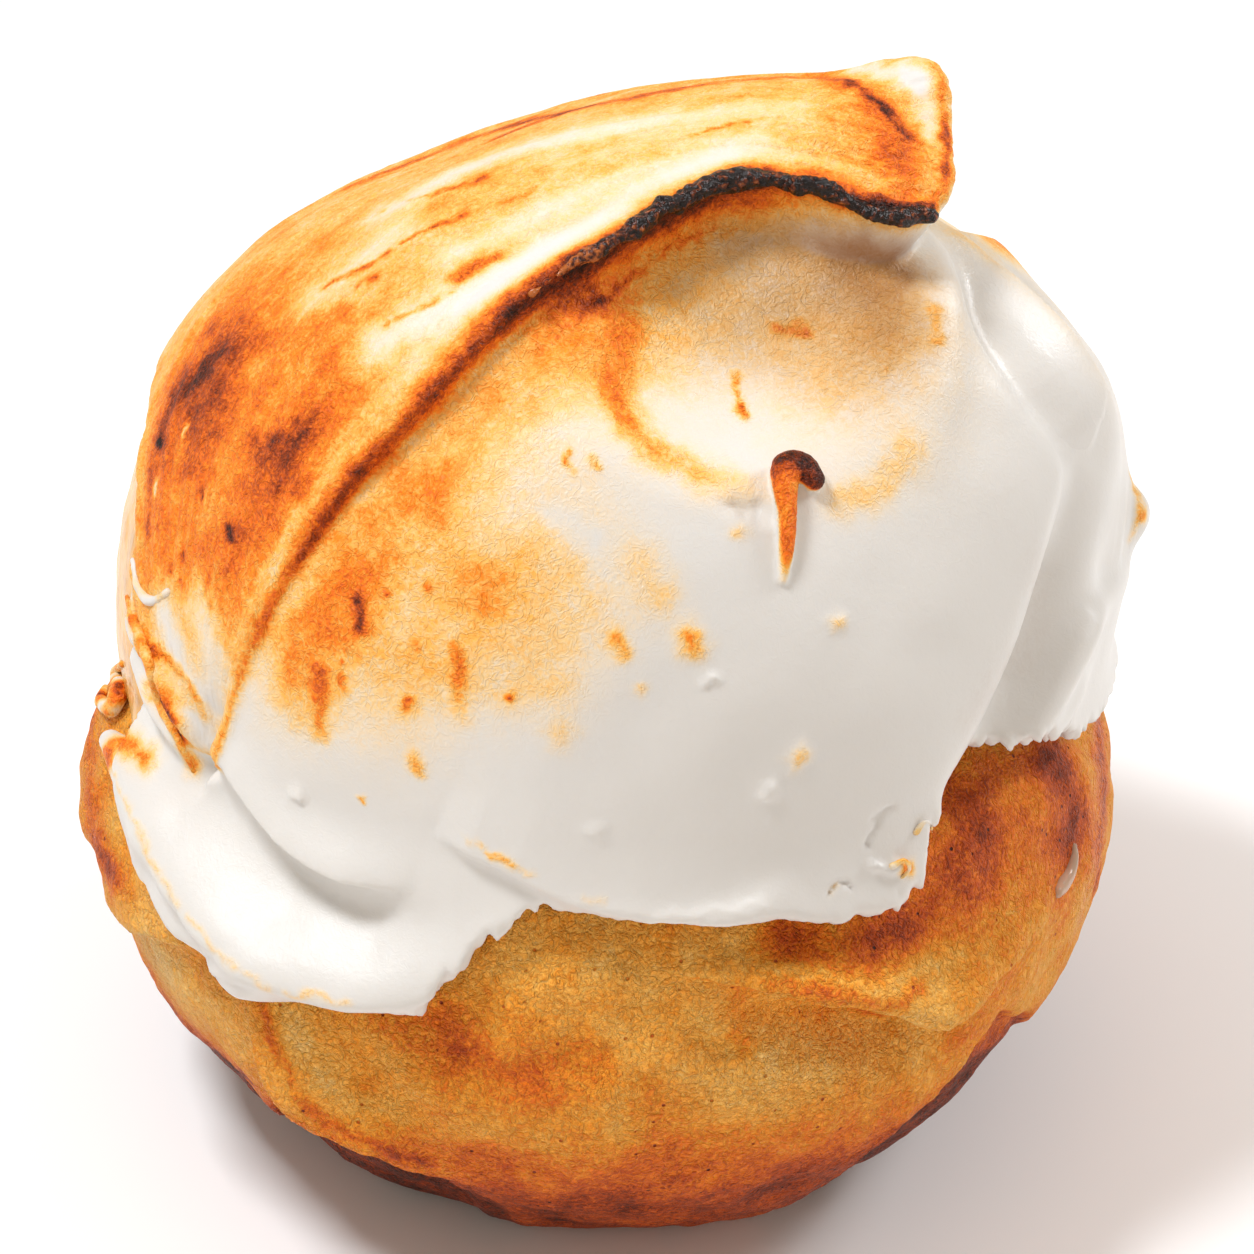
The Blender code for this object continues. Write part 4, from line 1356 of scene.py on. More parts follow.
@dataclass
class Meringue:
    """Meringue spread over filling and crust, with a last broad swipe that ends in a raised tip."""

    crust: Crust
    heart: tuple[float, float, float] = (0.0, 0.0, 42.0)
    dome_middle: tuple[float, float, float] = (0.5, 1.5, 43.0)
    dome_radii: tuple[float, float, float] = (39.7, 39.5, 40.0)
    shoulder_middle: tuple[float, float, float] = (15.0, 2.0, 54.0)
    shoulder_radii: tuple[float, float, float] = (26.0, 26.0, 25.0)
    shoulder_blend: float = 6.0
    drape_thickness: float = 2.6
    drape_top: float = 46.0
    drape_blend: float = 4.0
    edge_rounding: float = 1.6
    scoop_middle: tuple[float, float, float] = (14.0, -30.0, 95.5)
    scoop_radius: float = 27.0
    scoop_rounding: float = 2.0
    band_thin: float = 0.5
    band_thicker: float = 1.3
    tip: Pair = (6.0, 60.0)
    tip_rise: float = 5.2
    tip_spread: float = 13.0
    band_depth: float = 2.5
    band_rise_start: float = 5.0
    band_rise_span: float = 60.0
    band_rounding: float = 1.2
    band_under_rounding: float = 0.5
    band_blend: float = 0.8
    filling_top: float = 64.0
    filling_top_rounding: float = 6.0
    filling_bulge: float = 1.4
    filling_bulge_blend: float = 2.0
    gap: float = 0.4
    seam_rounding: float = 0.3
    hook_blend: float = 0.4
    side_peak_blend: float = 4.0
    low: tuple[float, float, float] = (-45.0, -45.0, 22.0)
    high: tuple[float, float, float] = (46.0, 45.0, 91.0)
    mesher: Mesher = Mesher(0.32)
    edge_patch: Pair = (2.6, 0.7)
    nearest: float = 25.0
    farthest: float = 60.0
    halvings: int = 24
    # Browning: where the swipe and its face begin, then strengths, with the shares of the lip they run over
    seam_over: Pair = (-0.1, 0.3)
    face_over: Pair = (-1.3, -0.5)
    band_toast: float = 0.4
    rim_toast: float = 0.44
    rim_start: Pair = (0.04, 0.12)
    rim_end: Pair = (0.95, 0.7)
    back_start: float = 105.0
    ridge_over: Pair = (0.25, 1.4)
    ridge_toast: float = 0.55
    top_over: Pair = (10.0, 62.0)
    top_toast: float = 0.24
    top_swing: float = 0.2
    top_layers: tuple = ((Seed.BROWN_CLOUDS, 9.0, 1.0), (Seed.BROWN_PATCHES, 3.5, 0.5))
    lip_rag: Pair = (1.0, 0.25)
    burnt_toast: float = 0.3
    burnt_middle: float = 1.8
    burnt_width: float = 1.3
    burnt_start: Pair = (0.42, 0.55)
    burnt_end: Pair = (0.95, 0.8)
    pale_toast: float = 0.14
    pale_middle: float = 2.9
    pale_width: float = 0.9
    pale_start: Pair = (0.25, 0.4)
    hook_over: Pair = (0.25, 0.0)
    hook_above: Pair = (0.1, 0.9)
    hook_toast: float = 0.62
    hook_tip_toast: float = 0.26
    hook_tip_over: Pair = (0.45, 0.75)
    hook_foot_toast: float = 0.14
    hook_foot_over: Pair = (0.16, 0.0)
    lip_length: float = 78.0
    band_width: float = 26.0
    # Strongest painted shade
    darkest_tan: float = 0.85
    # Finest relief: heights, and sizes over which they change, in millimetres
    drag_layers: tuple = ((Seed.DRAG_BROAD, (16.0, 1.1, 1.0), 1.0), (Seed.DRAG_FINE, (7.0, 0.55, 1.0), 0.6))
    drag_height: float = 0.13
    lumps: Pair = (6.0, 0.16)
    grain: Pair = (0.9, 0.05)
    wrinkle_height: float = 0.6
    wrinkle_size: tuple[float, float, float] = (5.0, 1.1, 1.0)
    wrinkle_bends: Pair = (3.0, 0.8)
    wrinkle_grain: Pair = (0.9, 0.5)
    outside: Pair = (-1.0, -0.4)
    inner_depth: float = -0.7
    inner_keep: float = 0.04
    back_from: float = 14.0
    back_depth: float = -0.3
    back_keep: float = 0.5
    edge: tuple = (
        (186, 61), (193, 58), (198, 55), (201, 50.5), (203.5, 45.5), (206, 39.5), (209, 35), (215, 32.7),
        (223, 30.6), (233, 29.6), (243, 30.6), (251, 31.6), (255, 34.5), (259, 38), (264, 39.8),
        (276, 39.2), (286, 38.4), (297, 37), (303, 37), (306.5, 38), (309, 41.3), (312.6, 44), (321, 44.8),
        (327, 43.8), (333, 42), (339, 39.6), (346, 38.8), (355, 38.4), (10, 36), (25, 32), (45, 30),
        (70, 34), (95, 29), (120, 33), (145, 38), (160, 54), (175, 62),
    )
    cover: tuple = (
        (0, 9), (60, 9), (120, 8), (145, 2.6), (160, 2.2), (195, 2.2), (206, 2.6), (218, 4), (250, 9),
        (300, 9),
    )
    tooth: tuple[float, float, float] = (0.8, 0.8, 2.6)
    teeth: tuple = (
        (200, 0.3), (230, 0.0), (248, 0.1), (253, 0.8), (262, 0.8), (268, 0.15), (285, 0.1), (299, 0.3),
        (304, 0.8), (314, 0.5), (318, 0.9), (334, 0.9), (345, 0.4), (40, 0.4), (120, 0.4),
    )
    swells: tuple = (
        Swell(170, 40, 12, -0.3), Swell(150, 58, 13, -1.8), Swell(118, 66, 14, -2.4),
        Swell(205, 55, 16, -0.6), Swell(20, 47, 11, -2.7), Swell(5, 40, 8, -1.0),
        Swell(353, 33, 9, 1.0), Swell(300, 10, 14, 0.5), Swell(237, 25, 12, 0.4),
        Swell(202, -4, 3, 1.0),
    )
    strokes: tuple = (
        Stroke([(220, 2), (222, 9), (225, 18)], (-1.2, -1.2, 0.0), 2.2, 0.8),
        Stroke([(230, 27), (236, 38), (246, 49), (258, 58), (270, 63)],
               (0.0, -0.5, -0.9, -1.0, -0.8), 1.8, 3.0),
        Stroke([(252, 50), (262, 58), (276, 64), (295, 68)], (0.0, 0.5, 0.6, 0.0), 1.0, 1.2),
        Stroke([(208, 18), (207, 30), (203, 45), (192, 58), (160, 70), (80, 74)],
               (-0.3, -0.7, -0.8, -0.8, -0.6, 0.0), 8.0, 8.0),
        Stroke([(203, -1), (211, -4), (222, -8), (234, -11), (245, -12), (253, -10)],
               (0.6, 1.6, 2.0, 2.0, 1.6, 0.3), 1.7, 1.7),
        Stroke([(213, 2), (224, -2), (235, -6), (246, -7), (255, -5)],
               (-0.4, -1.3, -1.7, -1.5, -0.2), 2.4, 2.0),
        Stroke([(221, 7), (226, 4), (234, 0), (242, -2), (250, -2)], (0.0, 1.2, 1.7, 1.4, 0.0), 2.0, 0.8),
        Stroke([(232, -15), (245, -16), (254, -13)], (0.0, -0.5, 0.0), 1.6, 1.6),
        Stroke([(252, 5), (256, 3.5), (261, 2), (267, -0.5), (274, -2), (284, -3.5)],
               (0.0, 0.9, 1.2, 1.0, 0.7, 0.1), 5.0, 0.8),
        Stroke([(268, -2), (278, -4), (286, -3.5), (292, -1)], (0.2, 0.6, 0.6, 0.0), 1.2, 1.6),
        Stroke([(199, 14), (204, 11), (210, 11), (216, 7), (219, 4)], (0.9, 1.0, 0.8, 0.9, 0.4), 0.9, 0.9),
        Stroke([(204, 8), (209, 5), (214, 3), (220, 0)], (0.7, 1.0, 1.0, 0.3), 0.9, 1.1),
        Stroke([(203, 5), (208, 2), (212, 0)], (-0.6, -0.8, -0.2), 1.0, 1.0),
        Stroke([(357, 53), (340, 51), (325, 44), (316, 36)], (1.2, 1.3, 0.8, 0.0), 2.6, 3.0),
        Stroke([(358, 54), (344, 47), (340, 39), (341, 31), (339, 22)],
               (-0.9, -1.3, -1.3, -0.9, 0.0), 2.0, 1.6),
        Stroke([(8, 52), (356, 45), (352, 38), (351, 30), (352, 20)], (0.4, 1.1, 1.1, 0.7, 0.0), 1.8, 2.6),
        Stroke([(344, 27), (335, 20), (326, 11), (316, 3), (311, 0)],
               (-0.8, -2.9, -3.1, -2.0, 0.0), 3.0, 2.2),
        Stroke([(352, 10), (338, 11), (329, 7), (320, 1), (314, -2)], (0.4, 1.5, 1.9, 1.4, 0.0), 2.0, 1.6),
        Stroke([(346, 8), (337, 4), (330, 2), (322, -1)], (0.0, 0.6, 0.7, 0.0), 1.4, 1.4),
        Stroke([(356, 20), (346, 14), (338, 2)], (-1.0, -1.0, -0.2), 3.4, 3.4),
        Stroke([(95, 66), (110, 50), (118, 32), (122, 12), (124, -8)], (0.0, 1.4, 1.7, 1.5, 0.3), 1.1, 4.5),
        Stroke([(40, 58), (62, 45), (76, 28), (83, 10), (86, -10)], (0.0, 1.4, 1.7, 1.5, 0.3), 1.1, 4.5),
        Stroke([(10, 50), (24, 38), (38, 22), (46, 6), (50, -10)], (0.0, 1.1, 1.5, 1.3, 0.2), 1.1, 4.5),
        Stroke([(152, 46), (154, 34), (150, 20), (146, 5), (143, -8)], (0.0, 1.0, 1.3, 1.1, 0.2), 1.1, 4.0),
    )
    lip: tuple = ((223, 3), (225, 12), (228, 22), (231, 31), (235, 40), (243, 51), (251, 60), (261, 66),
                  (271, 69), (292, 73), (318, 72.5), (328, 67), (332, 61), (338, 56.5))
    end: tuple = ((348, 56), (357, 57.6), (6, 59.2))
    back: tuple = ((22, 63), (45, 66), (80, 66), (112, 61), (140, 53), (158, 43), (172, 32), (186, 23),
                   (202, 14), (214, 4))
    hook_rows: tuple = ((293.4, 32, 0.3, 0.1), (294.5, 35, 0.55, 0.4), (295.5, 38, 0.7, 0.6),
                        (296.4, 41, 0.9, 0.8), (298, 43.2, 1.2, 0.9), (300.1, 42.7, 1.1, 0.9),
                        (301, 41.2, 0.85, 0.7))
    cap_rows: tuple = ((215, -8, 2.6, -2.0), (208.5, -6, 2.2, -1.7), (203.5, -4.8, 1.6, -1.2),
                       (199.5, -4.6, 0.9, -0.8))
    cap_blend: float = 1.6
    side_peak_rows: tuple = ((355.5, 18, 5.5, -4.2), (356.5, 15.6, 2.8, -0.9), (356.5, 15.0, 1.0, 0.35))
    lip_char: tuple = (
        (0.0, 0.2, 0.4), (0.1, 0.24, 0.5), (0.25, 0.28, 0.8), (0.36, 0.36, 1.2), (0.46, 0.5, 1.3),
        (0.56, 0.56, 1.3), (0.7, 0.58, 1.4), (0.84, 0.5, 1.1), (0.95, 0.5, 1.3), (1.0, 0.4, 1.0),
    )
    # Browning in the photograph's frame: the last swipe, then the front, then the edges
    swipe_marks: tuple = (
        # Pale streaks along the swipe: less browned, and partly painted highlight along its top
        Mark(((378, 345), (457, 298), (541, 254), (646, 204), (725, 165)), 24, (-0.34, -0.33, -0.3, -0.28,
             -0.1)),
        Mark(((383, 215), (488, 160), (646, 122), (790, 108)), 22, (-0.28, -0.3, -0.28, -0.18)),
        Mark(((446, 258), (594, 190), (752, 140)), 20, -0.22),
        Mark(((560, 165), (630, 146), (700, 132)), 15, -0.13), Mark(((310, 300), (400, 230)), 26, -0.2),
        Mark(((350, 188), (440, 150), (540, 118), (640, 96), (740, 80), (820, 78), (872, 96), (905, 140)),
             13, (0.24, 0.28, 0.36, 0.28, 0.24, 0.26, 0.2, 0.1)),
        Mark(((500, 136), (570, 110)), 12, 0.22), Mark(((846, 82), (880, 102), (906, 134)), 6, 0.24),
        Mark(((225, 303), (188, 356), (165, 419), (152, 487), (148, 566)), 34, (0.08, 0.12, 0.16, 0.18,
             0.12)),
        Mark(((240, 310), (215, 360), (200, 430), (190, 500), (185, 560)), 55, (0.11, 0.21, 0.24, 0.18,
             0.12)),
        Mark(((260, 330), (330, 400), (250, 520)), 70, 0.1),
        Mark(((160, 440), (176, 400), (196, 385)), 20, 0.16), Mark(((150, 470), (147, 530)), 7, 0.16),
        Mark(((215, 355), (260, 340), (294, 328), (340, 316), (373, 308)), 20, (0.18, 0.16, 0.12, 0.1,
             0.05)),
        Mark(((264, 448), (285, 440), (306, 425)), 24, 0.16),
        Mark(((200, 400), (260, 480), (230, 560)), 50, 0.14), Mark(((330, 380), (290, 470)), 40, 0.12),
        Mark(((252, 600), (290, 530), (335, 470), (400, 405)), 9, -0.12),
        Mark(((199, 610), (212, 660), (215, 700)), 24, -0.3),
        Mark(((165, 615), (180, 670), (205, 740)), 24, -0.4),
        Mark(((323, 287), (355, 272), (388, 253)), 4, 0.5), Mark(((357, 285), (378, 277)), 4, 0.35),
        Mark(((404, 240), (430, 228), (462, 214)), 4, 0.4),
        Mark(((407, 203), (445, 190), (483, 177)), 4, 0.28),
        Mark(((458, 276), (476, 268), (494, 256)), 11, 0.4),
        Mark(((388, 322), (420, 308), (452, 293)), 3, 0.3),
        Mark(((688, 137), (735, 124), (778, 116)), 3, 0.3), Mark(((494, 203), (536, 190)), 4, 0.16),
        Mark(((383, 211),), 4, 0.3), Mark(((860, 120), (880, 190)), 42, 0.14),
        Mark(((900, 150), (915, 200)), 26, 0.16),
        Mark(((938, 70), (947, 119), (945, 172), (932, 210)), 6, (0.2, 0.35, 0.35, 0.2)),
        Mark(((825, 62), (870, 70), (915, 78)), 14, -0.3),
        Mark(((905, 62), (925, 100), (932, 140)), 10, -0.25), Mark(((159, 445),), 5, 0.4),
        Mark(((202, 487), (203, 497)), 4, 0.3), Mark(((231, 527), (233, 540)), 5, 0.35),
        Mark(((183, 556),), 5, 0.35), Mark(((172, 569),), 4, 0.35), Mark(((181, 582),), 4, 0.35),
        Mark(((159, 527),), 4, 0.3), Mark(((212, 606),), 4, 0.25), Mark(((186, 428), (184, 436)), 3, -0.5),
        Mark(((157, 482), (155, 494)), 3, -0.5),
    )
    front_marks: tuple = (
        Mark(((300, 660), (350, 570), (430, 470), (510, 390), (590, 330)), 62, (0.34, 0.48, 0.48, 0.46,
             0.38)),
        Mark(((400, 690), (470, 610), (560, 520)), 60, (0.2, 0.26, 0.16)),
        Mark(((560, 312), (620, 262), (700, 224), (790, 206)), 12, (0.06, 0.16, 0.34, 0.3)),
        Mark(((560, 332), (615, 290), (672, 250), (717, 234), (800, 213)), 4, (0.1, 0.25, 0.25, 0.2, 0.1)),
        Mark(((310, 640), (360, 560), (420, 520)), 40, 0.1), Mark(((480, 590), (540, 640)), 50, 0.16),
        Mark(((290, 640), (300, 700)), 26, 0.1), Mark(((560, 560), (600, 620)), 34, 0.1),
        Mark(((360, 640), (480, 690), (560, 690)), 26, 0.12), Mark(((300, 722), (320, 728)), 12, 0.12),
        Mark(((634, 335), (622, 395), (645, 440), (690, 468), (748, 486)), 18, (0.14, 0.26, 0.32, 0.3,
             0.16)),
        Mark(((605, 372), (622, 420)), 14, 0.2), Mark(((640, 440), (700, 475)), 28, 0.1),
        Mark(((841, 502), (878, 488), (912, 450)), 17, 0.22),
        # Browning in the hollow under the lip, partly painted shade where the hollow lies deepest
        Mark(((840, 250), (885, 275), (895, 330)), 40, (0.1, 0.14, 0.1)),
        Mark(((690, 310), (770, 300), (840, 350)), 95, 0.28), Mark(((600, 300), (680, 250)), 34, 0.14),
        Mark(((640, 560), (660, 600)), 20, 0.2), Mark(((372, 545), (410, 524)), 16, -0.14),
        Mark(((552, 514), (594, 540)), 16, -0.14), Mark(((440, 455), (488, 435)), 16, -0.1),
        Mark(((690, 638), (692, 644)), 12, 0.52), Mark(((407, 706),), 8, 0.6),
        Mark(((414, 760), (419, 772)), 7, 0.46), Mark(((797, 757),), 9, 0.3), Mark(((838, 625),), 7, 0.28),
        Mark(((570, 452), (571, 474)), 3, 0.55), Mark(((595, 462),), 6, 0.4),
        Mark(((618, 640), (624, 652)), 9, 0.36), Mark(((510, 698),), 5, 0.5), Mark(((640, 690),), 6, 0.38),
        Mark(((362, 797), (364, 803)), 3, 0.45), Mark(((320, 672), (322, 728)), 10, 0.34),
        Mark(((455, 648), (462, 719)), 9, (0.4, 0.3, 0.1)), Mark(((359, 600), (363, 629)), 7, 0.4),
        Mark(((388, 593),), 5, 0.4), Mark(((428, 587),), 5, 0.35), Mark(((417, 645),), 5, 0.3),
        Mark(((341, 661), (344, 693)), 3, 0.3), Mark(((562, 735),), 14, 0.2),
        Mark(((778, 328), (802, 330)), 6, 0.36), Mark(((733, 372), (739, 395), (745, 420)), 4, 0.5),
        Mark(((741, 410), (743, 418)), 7, 0.25), Mark(((935, 310), (936, 342)), 6, 0.28),
        Mark(((738, 532),), 8, 0.26), Mark(((885, 365),), 4, 0.25), Mark(((840, 395),), 14, 0.1),
    )
    edge_marks: tuple = (
        Mark(((129, 598), (143, 645), (165, 655), (185, 682), (205, 715)), 7, 0.42),
        Mark(((150, 685), (172, 722), (194, 770)), 9, 0.5), Mark(((155, 690), (195, 700)), 11, 0.2),
        Mark(((108, 758), (118, 740), (148, 758)), 13, 0.62), Mark(((104, 752), (106, 776)), 9, 0.6),
        Mark(((110, 765), (130, 815), (165, 883), (210, 943), (270, 988), (350, 1004)), 3.5, 0.2),
        Mark(((465, 838), (500, 858), (530, 873)), 3, 0.22), Mark(((497, 858), (513, 866)), 5, 0.34),
        Mark(((1132, 480), (1141, 512), (1132, 535)), 6, 0.34), Mark(((1143, 515),), 6, 0.3),
        Mark(((903, 868), (910, 868)), 6, 0.55), Mark(((832, 892), (838, 886)), 3, 0.2),
        Mark(((585, 900), (600, 902)), 4, 0.12),
    )
    wet_marks: tuple = (
        Mark(((1015, 340), (1045, 380), (1080, 430)), 20, 1.0),
        Mark(((960, 240), (990, 320), (1040, 400)), 10, 0.6),
    )
    # Painted shade: the hollow under the lip and a valley at the right
    tan_marks: tuple = (
        Mark(((720, 225), (790, 240), (850, 250), (895, 270)), 26, (0.2, 0.4, 0.5, 0.5)),
        Mark(((800, 290), (870, 290), (890, 320)), 50, (0.3, 0.75, 0.6)),
        Mark(((740, 320), (850, 370)), 70, 0.3), Mark(((1040, 560), (1020, 640), (970, 720)), 28, 0.13),
    )
    wrinkle_marks: tuple = (
        Mark(((790, 150), (850, 160), (905, 190)), 38, (0.5, 1.0, 1.0)),
    )
    relief_marks: tuple = (
        Mark(((297, 795),), 7, 0.5), Mark(((710, 680),), 6, 0.35), Mark(((772, 790), (768, 796)), 9, 0.4),
        Mark(((797, 757),), 13, 0.3), Mark(((838, 625),), 9, 0.22), Mark(((595, 832),), 9, 0.25),
        Mark(((735, 505), (760, 512)), 10, -0.6), Mark(((690, 640),), 16, 0.15),
        Mark(((870, 847), (876, 823), (891, 807)), 3, -0.3), Mark(((872, 866), (900, 866)), 6, 0.5),
        Mark(((830, 892), (838, 885), (852, 886)), 3, -0.3),
        Mark(((600, 930), (700, 915), (760, 906)), 6, 0.2),
    )
    trim_lip: tuple = (0.1, 0.4, 0.7, 0.8, 0.9, 0.9)
    trim_end: Stroke = Stroke(((21, 69), (12, 66), (4, 64), (357, 62), (349, 60.5)),
                              (-0.3, -0.6, -0.6, -0.2), 0.9, 0.9)
    trim_tip: Swell = Swell(10, 60, 4, 4.0)
    lip_height: float = -0.5

    def __post_init__(self) -> None:
        """Draw the strokes, the band's outline and the pulled peaks."""
        self.form = Relief(swells=self.swells)
        self.drawn = Relief(self.strokes)
        self.trim = Relief([Stroke(self.lip[2:], self.trim_lip, 1.5, 1.5), self.trim_end], [self.trim_tip])
        self.inside = Relief()
        self.inside.set_inside(self.lip + self.end + self.back)
        self.hook = smooth_path(self.on_surface(self.hook_rows, self.spread), 19)
        self.side_peak = smooth_path(self.on_surface(self.side_peak_rows, self.spread), 7)
        self.cap = smooth_path(self.on_surface(self.cap_rows, self.spread), 9)
        lip = smooth_path(self.lip, 79)
        rows = np.column_stack([lip, np.zeros(len(lip)), np.full(len(lip), self.lip_height)])
        self.lip_line = self.on_surface(rows, self.face)
        self.rough = Noise(Seed.TORN_EDGE)

    def dome(self, points: Array) -> Array:
        """Broad form, without its marks."""
        body = ellipsoid(points, self.dome_middle, self.dome_radii)
        shoulder = ellipsoid(points, self.shoulder_middle, self.shoulder_radii)
        smooth = smooth_min(body, shoulder, self.shoulder_blend)
        return smooth - self.form.at(*angles(points, np.array(self.heart)))

    def band_thickness(self, azimuth: Array, latitude: Array) -> Array:
        """Thickness of the last swipe: thin at the left, thicker on top and high at the tip."""
        from_tip = np.arccos(np.clip(unit(azimuth, latitude) @ unit(*self.tip), -1, 1)) * Relief.radius
        rise = step(latitude, self.band_rise_start, self.band_rise_start + self.band_rise_span)
        tip = self.tip_rise * np.exp(-(from_tip / self.tip_spread) ** 2)
        return self.band_thin + self.band_thicker * rise + tip

    def layers(self, points: Array) -> tuple[Array, Array]:
        """Fields of the spread meringue, scooped under the lip, and of the last swipe over it."""
        azimuth, latitude = angles(points, np.array(self.heart))
        drawn = self.drawn.at(azimuth, latitude)
        bare = self.dome(points)
        drape = self.crust.shape(points) - self.drape_thickness
        drape = smooth_max(drape, points[:, 2] - self.drape_top, self.drape_blend)
        under = smooth_min(bare, drape, self.drape_blend) - drawn
        scoop = self.scoop_radius - np.linalg.norm(points - np.array(self.scoop_middle), axis=1)
        under = smooth_max(under, scoop, self.scoop_rounding)
        band = smooth_max(self.face(points), -self.inside.at(azimuth, latitude), self.band_rounding)
        return under, smooth_max(band, drawn - bare - self.band_depth, self.band_under_rounding)

    def spread(self, points: Array) -> Array:
        """Field of both layers together."""
        return smooth_min(*self.layers(points), self.band_blend)

    def face(self, points: Array) -> Array:
        """Field of the last swipe's outer face, as if it went all round."""
        azimuth, latitude = angles(points, np.array(self.heart))
        band = self.dome(points) - self.drawn.at(azimuth, latitude)
        return band - self.band_thickness(azimuth, latitude) - self.trim.at(azimuth, latitude)

    def on_surface(self, rows: Sequence, surface: Field) -> Array:
        """Rows of x, y, z and radius for a line that lies on a surface.

        Args:
            rows: Azimuth, latitude, radius and height over the surface.
            surface: The surface's field.

        Returns:
            The rows.
        """
        rows = np.array(rows, float)
        facing = unit(rows[:, 0], rows[:, 1])
        low, high = np.full(len(rows), self.nearest), np.full(len(rows), self.farthest)
        for _ in range(self.halvings):
            middle = (low + high) / 2
            inside = surface(np.array(self.heart) + middle[:, None] * facing) < 0
            low, high = np.where(inside, middle, low), np.where(inside, high, middle)
        return np.column_stack([np.array(self.heart) + (low + rows[:, 3])[:, None] * facing, rows[:, 2]])

    def below_edge(self, points: Array) -> Array:
        """Positive below the lower edge, which is torn where it has teeth."""
        azimuth, _ = angles(points, np.array(self.heart))
        size, strength = self.edge_patch
        torn = self.rough.at(points, self.tooth) + strength * self.rough.at(points, size)
        torn *= around(azimuth, self.teeth)
        return around(azimuth, self.edge) - points[:, 2] + torn

    def mound(self, points: Array) -> Array:
        """Field of the filling before the crust is taken out of it: it bulges where it is bare."""
        azimuth, _ = angles(points, np.array(self.heart))
        below = around(azimuth, self.edge) - points[:, 2]
        bare = np.clip(below / self.filling_bulge_blend + 0.5, 0, 1)
        mound = self.dome(points) + around(azimuth, self.cover) - self.filling_bulge * bare
        return smooth_max(mound, points[:, 2] - self.filling_top, self.filling_top_rounding)

    def outer(self, points: Array) -> Array:
        """Field of the meringue before the filling and crust are taken out of it."""
        outer = smooth_min(self.spread(points), strand(points, self.hook), self.hook_blend)
        outer = smooth_min(outer, strand(points, self.side_peak), self.side_peak_blend)
        outer = smooth_max(outer, self.below_edge(points), self.edge_rounding)
        return smooth_min(outer, strand(points, self.cap), self.cap_blend)

    def shape(self, points: Array) -> Array:
        """Field of the meringue."""
        hollow = self.gap - np.minimum(self.crust.shape(points), self.mound(points))
        return smooth_max(self.outer(points), hollow, self.seam_rounding)

    def toast(self, points: Array, canvas: Canvas) -> dict[str, Array]:
        """Browning, painted shade of hollows and the run of the spatula at each point.

        Args:
            points: Points of the surface.
            canvas: The surface, for the marks in the photograph.

        Returns:
            toast, drag, wet and the painted shade of hollows and valleys from 0 to 1, and along and across in
            millimetres.
        """
        azimuth, latitude = angles(points, np.array(self.heart))
        under, band = self.layers(points)
        swipe = step(under - band, *self.seam_over)
        on_band = swipe * step(self.face(points), *self.face_over)
        gap, place = along_path(points, self.lip_line[:, :3])
        back_line = smooth_path(unit(*np.array(self.back, float).T), 37)
        back_gap, _ = along_path(unit(azimuth, latitude), back_line)
        share = gap / np.maximum(gap + back_gap * Relief.radius, SMALL)
        back = behind(azimuth, self.back_start)
        ridges = step(self.drawn.at(azimuth, latitude), *self.ridge_over)
        top = self.top_toast + self.top_swing * layered(points, self.top_layers)
        rim = self.rim_toast * step(place, *self.rim_start) * step(place, *self.rim_end)
        toast = on_band * self.band_toast + (swipe - on_band) * rim
        toast += (1 - swipe) * back * (self.ridge_toast * ridges + step(latitude, *self.top_over) * top)
        size, strength = self.lip_rag
        rough_gap = gap + strength * Noise(Seed.LIP_RAG).at(points, size)
        at, strength, width = np.array(self.lip_char).T
        toast += np.interp(place, at, strength) * np.exp(-(rough_gap / np.interp(place, at, width)) ** 2)
        burnt = self.burnt_toast * step(place, *self.burnt_start)
        burnt = burnt * np.exp(-((rough_gap - self.burnt_middle) / self.burnt_width) ** 2)
        toast += burnt * (1 - on_band) * step(place, *self.burnt_end)
        pale = self.pale_toast * np.exp(-((gap - self.pale_middle) / self.pale_width) ** 2)
        toast -= pale * on_band * step(place, *self.pale_start)
        toast += canvas.laid(self.swipe_marks) * swipe + canvas.laid(self.front_marks) * (1 - swipe)
        toast += canvas.laid(self.edge_marks)
        hook = step(strand(points, self.hook), *self.hook_over)
        hook = hook * step(self.spread(points), *self.hook_above)
        _, up = along_path(points, self.hook[:, :3])
        hook_toast = self.hook_toast + self.hook_tip_toast * step(up, *self.hook_tip_over)
        hook_toast = hook_toast - self.hook_foot_toast * step(up, *self.hook_foot_over)
        toast = toast * (1 - hook) + hook * hook_toast
        # Painted shade in the hollow under the lip and in a valley at the right, off the swipe
        tan = canvas.laid(self.tan_marks) * (1 - on_band)
        return {
            "toast": np.clip(toast, 0.0, 1.0), "drag": on_band, "along": self.lip_length * place,
            "across": self.band_width * share, "wet": np.clip(canvas.laid(self.wet_marks), 0, 1),
            "tan": np.clip(tan, 0, self.darkest_tan),
        }

